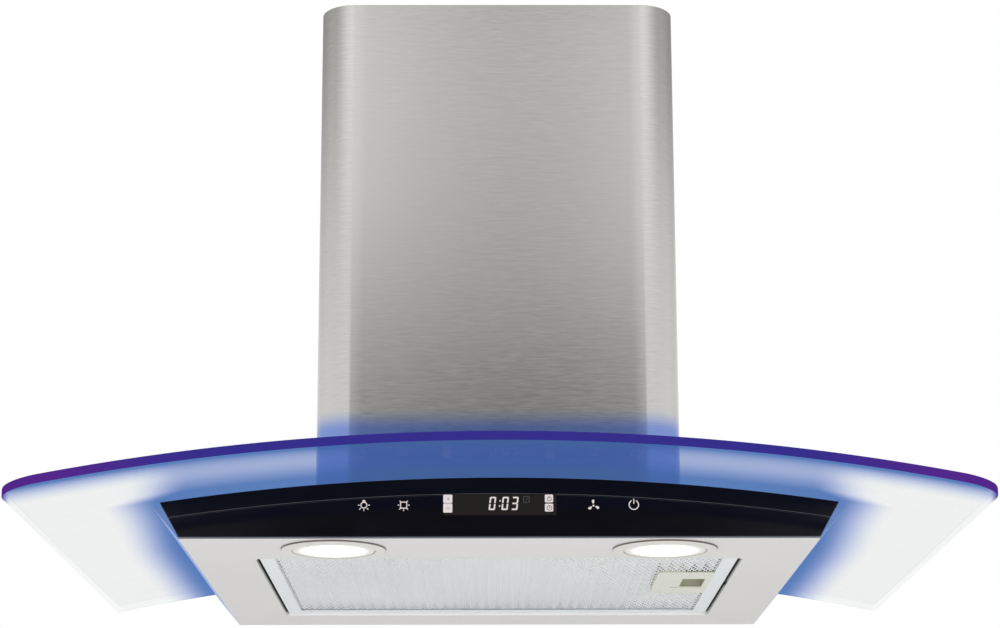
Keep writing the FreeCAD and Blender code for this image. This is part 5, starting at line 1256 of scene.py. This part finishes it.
# ---------------------------------------------------------------- repeated pieces by geometry nodes
class RepeatTree(NodeBench):
    """A geometry node tree with named inputs, made in the script."""

    def __init__(self, name: str, inputs: dict[str, tuple[str, object]]) -> None:
        """Starts a tree.

        Args:
            name: name of the tree.
            inputs: socket name, socket type and value of each size.
        """
        super().__init__(bpy.data.node_groups.new(name, "GeometryNodeTree"))
        face = self.tree.interface
        face.new_socket("Geometry", in_out="INPUT", socket_type="NodeSocketGeometry")
        face.new_socket("Geometry", in_out="OUTPUT", socket_type="NodeSocketGeometry")
        self.values = {}
        for label, (kind, value) in inputs.items():
            socket = face.new_socket(label, in_out="INPUT", socket_type=kind)
            self.values[socket.identifier] = value
        self.source = self.add("NodeGroupInput")
        self.sink = self.add("NodeGroupOutput")

    def value(self, name: str) -> bpy.types.NodeSocket:
        """Output socket of a named input."""
        return self.source.outputs[name]

    def vector(self, x: object, y: object, z: object) -> bpy.types.NodeSocket:
        """A vector from three parts."""
        return self.add("ShaderNodeCombineXYZ", {0: x, 1: y, 2: z}).outputs[0]

    def moved(self, geometry: bpy.types.NodeSocket, shift: object) -> bpy.types.NodeSocket:
        """Shifted geometry."""
        return self.add("GeometryNodeTransform", {"Geometry": geometry, "Translation": shift}).outputs[0]

    def scattered(self, geometry: bpy.types.NodeSocket, unit: bpy.types.NodeSocket,
                  turn: object = (0.0, 0.0, 0.0)) -> bpy.types.NodeSocket:
        """One copy of a unit at each point of a mesh."""
        points = self.add("GeometryNodeMeshToPoints", {"Mesh": geometry})
        return self.add("GeometryNodeInstanceOnPoints", {"Points": points.outputs[0], "Instance": unit,
                                                         "Rotation": turn}).outputs[0]

    def joined(self, *parts: bpy.types.NodeSocket) -> bpy.types.NodeSocket:
        """Several geometries as one."""
        node = self.add("GeometryNodeJoinGeometry")
        for part in parts:
            self.tree.links.new(part, node.inputs[0])
        return node.outputs[0]

    def close(self, geometry: bpy.types.NodeSocket, material: bpy.types.Material) -> None:
        """Realizes the instances, sets the material and ends the tree."""
        real = self.add("GeometryNodeRealizeInstances", {0: geometry})
        dressed = self.add("GeometryNodeSetMaterial", {"Geometry": real.outputs[0], "Material": material})
        self.tree.links.new(dressed.outputs[0], self.sink.inputs[0])

    def run(self, name: str, places: Iterable[Sequence[float]]) -> bpy.types.Object:
        """Runs the tree on a mesh of loose points and returns the plain result."""
        mesh = bpy.data.meshes.new(name)
        mesh.from_pydata([tuple(place) for place in places], [], [])
        thing = new_object(name, mesh)
        modifier = thing.modifiers.new("repeat", "NODES")
        modifier.node_group = self.tree
        for identifier, value in self.values.items():
            modifier[identifier] = value
        return baked(thing)


@dataclass
class CrossScrew:
    """Pan screws with a cross recess, one at each place."""

    palette: Palette
    head: float
    head_high: float
    shank: float
    length: float
    turn: tuple[float, float, float] = (0.0, 0.0, 0.0)
    recess: float = 0.62

    def tree(self) -> RepeatTree:
        """Builds the node tree of the screws; the seat of the head is the place."""
        number = "NodeSocketFloat"
        tree = RepeatTree("cross_screw", {
            "Head radius": (number, self.head), "Head height": (number, self.head_high),
            "Shank radius": (number, self.shank), "Shank length": (number, self.length),
            "Recess share": (number, self.recess), "Turn": ("NodeSocketVector", self.turn)})
        head, high = tree.value("Head radius"), tree.value("Head height")
        base = tree.math("MULTIPLY", high, 0.62)
        cap = tree.add("GeometryNodeMeshCylinder", {"Vertices": 28, "Radius": head, "Depth": base},
                       fill_type="NGON")
        domed = tree.add("GeometryNodeExtrudeMesh", {"Mesh": cap.outputs["Mesh"], "Selection": cap.outputs["Top"],
                                                     "Offset Scale": tree.math("MULTIPLY", high, 0.24)})
        shrunk = tree.add("GeometryNodeScaleElements", {"Geometry": domed.outputs["Mesh"],
                                                        "Selection": domed.outputs["Top"], "Scale": 0.86})
        crown = tree.add("GeometryNodeExtrudeMesh", {"Mesh": shrunk.outputs[0], "Selection": domed.outputs["Top"],
                                                     "Offset Scale": tree.math("MULTIPLY", high, 0.14)})
        top = tree.add("GeometryNodeScaleElements", {"Geometry": crown.outputs["Mesh"],
                                                     "Selection": crown.outputs["Top"], "Scale": 0.72})
        seated = tree.moved(top.outputs[0], tree.vector(0.0, 0.0, tree.math("MULTIPLY", base, 0.5)))
        long = tree.math("MULTIPLY", tree.math("MULTIPLY", head, 2.0), tree.value("Recess share"))
        narrow = tree.math("MULTIPLY", head, 0.26)
        deep = tree.math("MULTIPLY", high, 1.1)
        bars = [tree.add("GeometryNodeMeshCube", {"Size": tree.vector(*size)}).outputs[0]
                for size in ((long, narrow, deep), (narrow, long, deep))]
        sunk = [tree.moved(bar, tree.vector(0.0, 0.0, high)) for bar in bars]
        cut = tree.add("GeometryNodeMeshBoolean", {"Mesh 1": seated}, operation="DIFFERENCE")
        for bar in sunk:
            tree.tree.links.new(bar, cut.inputs["Mesh 2"])
        shank = tree.add("GeometryNodeMeshCylinder", {"Vertices": 20, "Radius": tree.value("Shank radius"),
                                                      "Depth": tree.value("Shank length")})
        low = tree.math("MULTIPLY", tree.value("Shank length"), -0.5)
        screw = tree.joined(cut.outputs[0], tree.moved(shank.outputs["Mesh"], tree.vector(0.0, 0.0, low)))
        copies = tree.scattered(tree.value("Geometry"), screw, tree.value("Turn"))
        tree.close(copies, self.palette["zinc_plate"])
        return tree

    def build(self, name: str, node: str, places: Iterable[Sequence[float]]) -> None:
        """Sets the screws at their places and stands them for the solid."""
        screws = self.tree().run(name, places)
        screws.data.shade_smooth()
        screws.data.set_sharp_from_angle(angle=math.radians(30))
        settle(screws, Body.HOOD, Slot.ZINC_STEEL, node)


@dataclass
class ExpandedMesh:
    """Expanded aluminium over the lower side of the grease filter: slit and drawn strands."""

    palette: Palette
    pitch_x: float = 0.0037
    pitch_y: float = 0.0057
    strand: float = 0.00145
    gauge: float = 0.00014
    tilt: float = 0.2
    back_gap: float = 0.0045

    def tree(self, low: Vector, high: Vector, latch_low: Vector, latch_high: Vector) -> RepeatTree:
        """Builds the node tree of the mesh between two corners, with room for the latch."""
        number, whole, arrow = "NodeSocketFloat", "NodeSocketInt", "NodeSocketVector"
        columns = int((high.x - low.x) / self.pitch_x) - 1
        rows = int((high.y - low.y) / self.pitch_y) - 2
        centre = ((low.x + high.x) / 2, (low.y + high.y) / 2, (low.z + high.z) / 2)
        tree = RepeatTree("expanded_mesh", {
            "Pitch across": (number, self.pitch_x), "Pitch along": (number, self.pitch_y),
            "Strand width": (number, self.strand), "Gauge": (number, self.gauge),
            "Tilt": (number, self.tilt), "Columns": (whole, columns), "Rows": (whole, rows),
            "Centre": (arrow, centre), "Latch low": (arrow, tuple(latch_low)),
            "Latch high": (arrow, tuple(latch_high))})
        pitch_x, pitch_y = tree.value("Pitch across"), tree.value("Pitch along")
        count_x, count_y = tree.value("Columns"), tree.value("Rows")
        size_x = tree.math("MULTIPLY", pitch_x, tree.math("SUBTRACT", count_x, 1.0))
        size_y = tree.math("MULTIPLY", pitch_y, tree.math("SUBTRACT", count_y, 1.0))
        grid = tree.add("GeometryNodeMeshGrid", {"Size X": size_x, "Size Y": size_y,
                                                 "Vertices X": count_x, "Vertices Y": count_y})
        row = tree.math("MODULO", tree.add("GeometryNodeInputIndex").outputs[0], count_y)
        odd = tree.math("MODULO", row, 2.0)
        shift = tree.math("MULTIPLY", tree.math("SUBTRACT", odd, 0.5), tree.math("MULTIPLY", pitch_x, 0.5))
        nudged = tree.add("GeometryNodeSetPosition", {"Geometry": grid.outputs["Mesh"],
                                                      "Offset": tree.vector(shift, 0.0, 0.0)})
        placed = tree.moved(nudged.outputs[0], tree.value("Centre"))
        place = tree.add("ShaderNodeSeparateXYZ", {0: tree.add("GeometryNodeInputPosition").outputs[0]})
        low_xyz = tree.add("ShaderNodeSeparateXYZ", {0: tree.value("Latch low")})
        high_xyz = tree.add("ShaderNodeSeparateXYZ", {0: tree.value("Latch high")})
        tests = []
        for axis in ("X", "Y"):
            tests.append(tree.math("GREATER_THAN", place.outputs[axis], low_xyz.outputs[axis]))
            tests.append(tree.math("LESS_THAN", place.outputs[axis], high_xyz.outputs[axis]))
        inside = tree.product(*tests)
        kept = tree.add("GeometryNodeDeleteGeometry", {"Geometry": placed, "Selection": inside}, domain="POINT")
        side = math.atan2(self.pitch_x / 2, self.pitch_y)
        inset = tree.math("MULTIPLY", tree.value("Strand width"), 0.5)
        wide = tree.math("SUBTRACT", pitch_x, tree.math("DIVIDE", inset, math.cos(side)))
        tall = tree.math("SUBTRACT", tree.math("MULTIPLY", pitch_y, 2.0), tree.math("DIVIDE", inset, math.sin(side)))
        half_strand = tree.math("MULTIPLY", tree.value("Strand width"), 0.52)
        cell = tree.add("GeometryNodeCurvePrimitiveQuadrilateral",
                        {"Width": wide, "Bottom Height": tree.math("MULTIPLY", tall, 0.5),
                         "Top Height": tree.math("MULTIPLY", tall, 0.5)}, mode="KITE")
        strand = tree.add("GeometryNodeCurvePrimitiveQuadrilateral",
                          {"Width": half_strand, "Height": tree.value("Gauge")}, mode="RECTANGLE")
        tilted = tree.add("GeometryNodeSetCurveTilt", {"Curve": cell.outputs[0], "Tilt": tree.value("Tilt")})
        unit = tree.add("GeometryNodeCurveToMesh", {"Curve": tilted.outputs[0],
                                                    "Profile Curve": strand.outputs[0]})
        tree.close(tree.scattered(kept.outputs[0], unit.outputs[0]), self.palette["aluminium_mesh"])
        return tree

    def build(self) -> None:
        """Makes the mesh in the place of the lower layer."""
        low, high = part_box("filter_mesh_lower")
        high = high - Vector((0.0, self.back_gap, 0.0))
        latch_low, latch_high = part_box("filter_latch_plate")
        reach = Vector((self.pitch_x / 4, self.pitch_y / 4, 0.0))
        tree = self.tree(low, high, latch_low + reach, latch_high - reach + Vector((0.05, 0.0, 0.0)))
        mesh = tree.run("filter_expanded_mesh", [(0.0, 0.0, 0.0)])
        settle(mesh, Body.FILTER, Slot.ALUMINIUM, "filter_mesh_lower")


@dataclass
class LightChips:
    """Small light chips on the tape under the glass."""

    palette: Palette
    pitch: float = 0.0105
    size: tuple[float, float, float] = (0.0028, 0.0035, 0.0007)

    def places(self) -> list[tuple[float, float, float]]:
        """Points along the front and both sides of the tape."""
        low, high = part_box("led_strip")
        half, front = high.x - 0.0025, low.y + 0.0025
        run = []
        count = int(2 * half / self.pitch)
        for step in range(count + 1):
            x = -half + 2 * half * step / count
            run.append((x, front, ARCH.z(x, -0.0012)))
        rows = int((high.y - front) / self.pitch)
        for step in range(1, rows):
            for side in Side:
                x = side.value * half
                run.append((x, front + self.pitch * step, ARCH.z(x, -0.0012)))
        return run

    def build(self) -> None:
        """Makes the chips."""
        tree = RepeatTree("light_chips", {"Chip size": ("NodeSocketVector", self.size)})
        chip = tree.add("GeometryNodeMeshCube", {"Size": tree.value("Chip size")})
        tree.close(tree.scattered(tree.value("Geometry"), chip.outputs[0]), self.palette["strip_light"])
        settle(tree.run("light_chips", self.places()), Body.HOOD, Slot.LIGHT_CLEAR)


# ---------------------------------------------------------------- solids that keep their shape
@dataclass
class CarriedOver:
    """Solids of the frame whose shape is right; they only get their finish."""

    palette: Palette
    finishes: dict[str, tuple[str, ...]] = field(default_factory=lambda: {
        "panel_steel": ("body_shell",),
        "stainless_sheet": ("body_top_plate",),
        "zinc_plate": ("blower_box", "blower_back_plate", "motor_bracket", "capacitor_clip", "glass_nuts",
                       "carrier_nuts", "filter_pins", "latch_striker", "chimney_bracket", "fan_motor"),
        "spring_sheet": ("lamp_clips", "filter_latch_spring", "motor_shaft", "damper_pin", "chimney_clips"),
        "frame_aluminium": ("filter_frame",),
        "aluminium_sheet": ("filter_mesh_upper", "lamp_can_left", "lamp_can_right"),
        "aluminium_foil": ("filter_core",),
        "black_moulding": ("fascia_carrier", "scroll_housing_left", "scroll_housing_right", "outlet_funnel",
                           "duct_collar", "control_box", "control_box_lid", "cable_gland"),
        "grey_moulding": ("impeller", "damper_flap_front", "damper_flap_back"),
        "ivory_moulding": ("filter_latch_plate", "filter_latch_slider"),
        "black_rubber": ("glass_gasket", "glass_washers", "touch_pads", "motor_bushes"),
        "white_moulding": ("capacitor", "terminal_block"),
        "circuit_board": ("touch_board", "power_board"),
        "strip_light": ("light_guide",),
        "strip_tape": ("led_strip",),
        "window_tint": ("display_module",)})

    def build(self) -> None:
        """Gives each solid its finish."""
        for finish, names in self.finishes.items():
            for name in names:
                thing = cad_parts[name]
                if not thing.material_slots:
                    thing.data.materials.append(self.palette[finish])
                for holder in thing.material_slots:
                    holder.material = self.palette[finish]
                LOG.info("%s keeps its solid, finish %s", name, finish)


@dataclass
class Fastenings:
    """The screws of the hood."""

    palette: Palette

    def build(self) -> None:
        """Makes the screws of the glass, the blower box and the motor."""
        for name, node, head, head_high, shank in (
                ("canopy_screws", "glass_screws", 0.0055, 0.003, 0.0025),
                ("blower_box_screws", "box_screws", 0.0038, 0.0022, 0.002)):
            low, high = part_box(node)
            x, rows = high.x - head, (low.y + head, high.y - head)
            seat = high.z - head_high
            screw = CrossScrew(self.palette, head, head_high, shank, seat - low.z)
            screw.build(name, node, [(side.value * x, y, seat) for side in Side for y in rows])
        low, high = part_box("motor_screws")
        seat = high.x - 0.0022
        reach, axis_y, axis_z = 0.066, -0.113, -0.009
        places = []
        for turn in (30.0, 150.0, 270.0):
            t = math.radians(turn)
            places.append((seat, axis_y - reach * math.sin(t), axis_z + reach * math.cos(t)))
        screw = CrossScrew(self.palette, head, 0.0022, 0.002, seat - low.x, (0.0, math.pi / 2, 0.0))
        screw.build("motor_arm_screws", "motor_screws", places)


# ---------------------------------------------------------------- stage
@dataclass
class Studio:
    """Pale floor, plain light and the camera."""

    floor_z: float = -1.15
    floor_half: float = 6.0
    camera_place: tuple[float, float, float] = (-0.0093, -1.8801, -0.4156)
    camera_tilt: float = 13.561
    camera_pan: float = 0.373
    camera_roll: float = -0.15
    lens: float = 85.91
    shift: float = 0.08
    front_levels: tuple[Point, ...] = ((0.0, 0.12), (0.18, 0.14), (0.21, 0.20), (0.228, 0.34), (0.245, 0.56),
                                       (0.272, 1.02), (0.293, 1.37), (0.3125, 1.54), (0.343, 1.48), (0.367, 1.29),
                                       (0.45, 1.22), (0.7, 1.1))
    shoulder_levels: tuple[Point, ...] = ((0.0, 1.1), (0.24, 1.15), (0.30, 1.2), (0.36, 1.42), (0.6, 1.4))
    side_levels: tuple[Point, ...] = ((0.0, 1.15), (0.24, 1.26), (0.30, 1.12), (0.37, 0.64), (0.5, 0.5), (0.8, 0.8))
    back_levels: tuple[Point, ...] = ((0.0, 1.05), (0.24, 1.05), (0.30, 0.80), (0.37, 0.40), (0.5, 0.4), (0.8, 0.8))
    gap_x: float = 0.015
    gap_half: float = 0.085
    gap_level: float = 0.57

    def camera(self) -> None:
        """Sets the camera where the photograph was taken from."""
        tilt, pan, roll = (math.radians(v) for v in (self.camera_tilt, self.camera_pan, self.camera_roll))
        ahead = Vector((math.sin(pan) * math.cos(tilt), math.cos(pan) * math.cos(tilt), math.sin(tilt)))
        level = Vector((math.cos(pan), -math.sin(pan), 0.0))
        upright = level.cross(ahead)
        right = level * math.cos(roll) + upright * math.sin(roll)
        up = upright * math.cos(roll) - level * math.sin(roll)
        data = bpy.data.cameras.new("camera")
        data.lens = self.lens
        data.sensor_width = 36.0
        data.shift_y = self.shift
        data.clip_start = 0.01
        camera = bpy.data.objects.new("camera", data)
        facing = Matrix((right, up, -ahead)).transposed().to_4x4()
        camera.matrix_world = Matrix.Translation(self.camera_place) @ facing
        bpy.context.scene.collection.objects.link(camera)
        bpy.context.scene.camera = camera

    def floor(self) -> None:
        """Lays a pale floor that is seen from above only."""
        shape = bmesh.new()
        reach = self.floor_half
        shape.faces.new([shape.verts.new((x * reach, y * reach, self.floor_z))
                         for x, y in ((-1, -1), (1, -1), (1, 1), (-1, 1))])
        mesh = bpy.data.meshes.new("floor")
        shape.to_mesh(mesh)
        shape.free()
        bench = ShaderBench("floor_paint")
        speckle = bench.noise((40.0, 40.0, 40.0), 3.0)
        tone = bench.mottled(speckle, shade((236, 236, 235)), shade((240, 240, 240)))
        paint = bench.add("ShaderNodeBsdfPrincipled", {"Base Color": tone, "Roughness": 0.9,
                                                       "Specular IOR Level": 0.1})
        clear = bench.add("ShaderNodeBsdfTransparent")
        geometry = bench.add("ShaderNodeNewGeometry")
        mix = bench.add("ShaderNodeMixShader", {0: geometry.outputs["Backfacing"], 1: paint.outputs[0],
                                                2: clear.outputs[0]})
        mesh.materials.append(bench.close(mix.outputs[0]))
        new_object("floor", mesh)

    def world(self) -> None:
        """White to the camera and through glass; a soft studio gradient for reflections, and a plain level for the
        other light.
        """
        world = bpy.data.worlds.new("studio")
        world.use_nodes = True
        bench = NodeBench(world.node_tree)
        bench.tree.nodes.clear()
        way = bench.add("ShaderNodeTexCoord").outputs["Generated"]
        part = bench.add("ShaderNodeSeparateXYZ", {0: way})

        def ramp(levels: Sequence[Point]) -> bpy.types.NodeSocket:
            """Level by height of the direction, from place and level pairs."""
            node = bench.add("ShaderNodeValToRGB", {0: part.outputs["Z"]})
            for place, level in levels:
                stop = node.color_ramp.elements.new(place) if place > 0.0 else node.color_ramp.elements[0]
                stop.position = place
                stop.color = (level / 2, level / 2, level / 2, 1.0)
            node.color_ramp.elements[-1].color = node.color_ramp.elements[-2].color
            return bench.math("MULTIPLY", node.outputs[0], 2.0)

        def between(share: object, first: object, second: object) -> bpy.types.NodeSocket:
            """Mixes two levels."""
            node = bench.add("ShaderNodeMix", {0: share, 2: first, 3: second}, data_type="FLOAT")
            return node.outputs[0]

        across = bench.math("ABSOLUTE", part.outputs["X"])
        backward = bench.math("MULTIPLY", part.outputs["Y"], -1.0)
        turn = bench.math("DIVIDE", bench.math("ARCTAN2", across, backward), math.pi)
        gap = bench.span(bench.math("ABSOLUTE", bench.math("SUBTRACT", part.outputs["X"], self.gap_x)),
                   0.0, self.gap_half, self.gap_level, 1.0, True)
        front = bench.math("MULTIPLY", ramp(self.front_levels), gap)
        shoulder, side, back = ramp(self.shoulder_levels), ramp(self.side_levels), ramp(self.back_levels)
        studio = between(bench.span(turn, 0.022, 0.055, 0.0, 1.0, True), front, shoulder)
        studio = between(bench.span(turn, 0.07, 0.42, 0.0, 1.0, True), studio, side)
        studio = between(bench.span(turn, 0.45, 0.85, 0.0, 1.0, True), studio, back)
        grey = bench.add("ShaderNodeCombineColor", {0: studio, 1: studio, 2: studio})
        mirrored = bench.add("ShaderNodeBackground", {0: grey.outputs[0], 1: 1.0})
        plain = bench.add("ShaderNodeBackground", {0: (1, 1, 1, 1), 1: 0.75})
        white = bench.add("ShaderNodeBackground", {0: (1, 1, 1, 1), 1: 1.0})
        ray = bench.add("ShaderNodeLightPath")
        inner = bench.add("ShaderNodeMixShader", {0: ray.outputs["Is Glossy Ray"], 1: plain.outputs[0],
                                                  2: mirrored.outputs[0]})
        seen = bench.math("MAXIMUM", ray.outputs["Is Camera Ray"], ray.outputs["Is Transmission Ray"])
        outer = bench.add("ShaderNodeMixShader", {0: seen, 1: inner.outputs[0], 2: white.outputs[0]})
        sink = bench.add("ShaderNodeOutputWorld")
        bench.tree.links.new(outer.outputs[0], sink.inputs["Surface"])
        bpy.context.scene.world = world

    def lamp(self, name: str, place: Sequence[float], target: Sequence[float], size: float, power: float) -> None:
        """One soft box."""
        data = bpy.data.lights.new(name, "AREA")
        data.shape = "SQUARE"
        data.size = size
        data.energy = power
        thing = bpy.data.objects.new(name, data)
        thing.visible_glossy = False
        toward = Vector(target) - Vector(place)
        thing.matrix_world = Matrix.Translation(place) @ toward.to_track_quat("-Z", "Y").to_matrix().to_4x4()
        bpy.context.scene.collection.objects.link(thing)

    def build(self) -> None:
        """Sets the stage."""
        self.camera()
        self.floor()
        self.world()
        self.lamp("key", (-1.6, -2.2, 1.6), (0.0, -0.2, 0.0), 1.4, 22.0)
        self.lamp("fill", (1.8, -1.8, 1.0), (0.0, -0.2, 0.0), 1.6, 12.0)
        self.lamp("from_floor", (0.0, -1.0, -1.1), (0.0, -0.2, -0.15), 1.6, 13.0)
        scene = bpy.context.scene
        scene.view_settings.view_transform = "Standard"


def main() -> None:
    """Builds the looks of the hood in order."""
    logging.basicConfig(level=logging.INFO, format="%(message)s")
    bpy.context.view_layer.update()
    palette = Palette()
    Studio().build()
    CarriedOver(palette).build()
    Canopy(palette).build()
    ChimneyCover(palette, "chimney_lower_cover", "lower_chimney", Body.HOOD, 0.001, 0.025, True).build()
    ChimneyCover(palette, "chimney_upper_cover", "upper_chimney", Body.UPPER_COVER, 0.0008, 0.0232, False).build()
    Fascia(palette).build()
    for side in Side:
        Lamp(palette, side).build()
    ExpandedMesh(palette).build()
    Fastenings(palette).build()
    LightChips(palette).build()


if __name__ == "__main__":
    main()
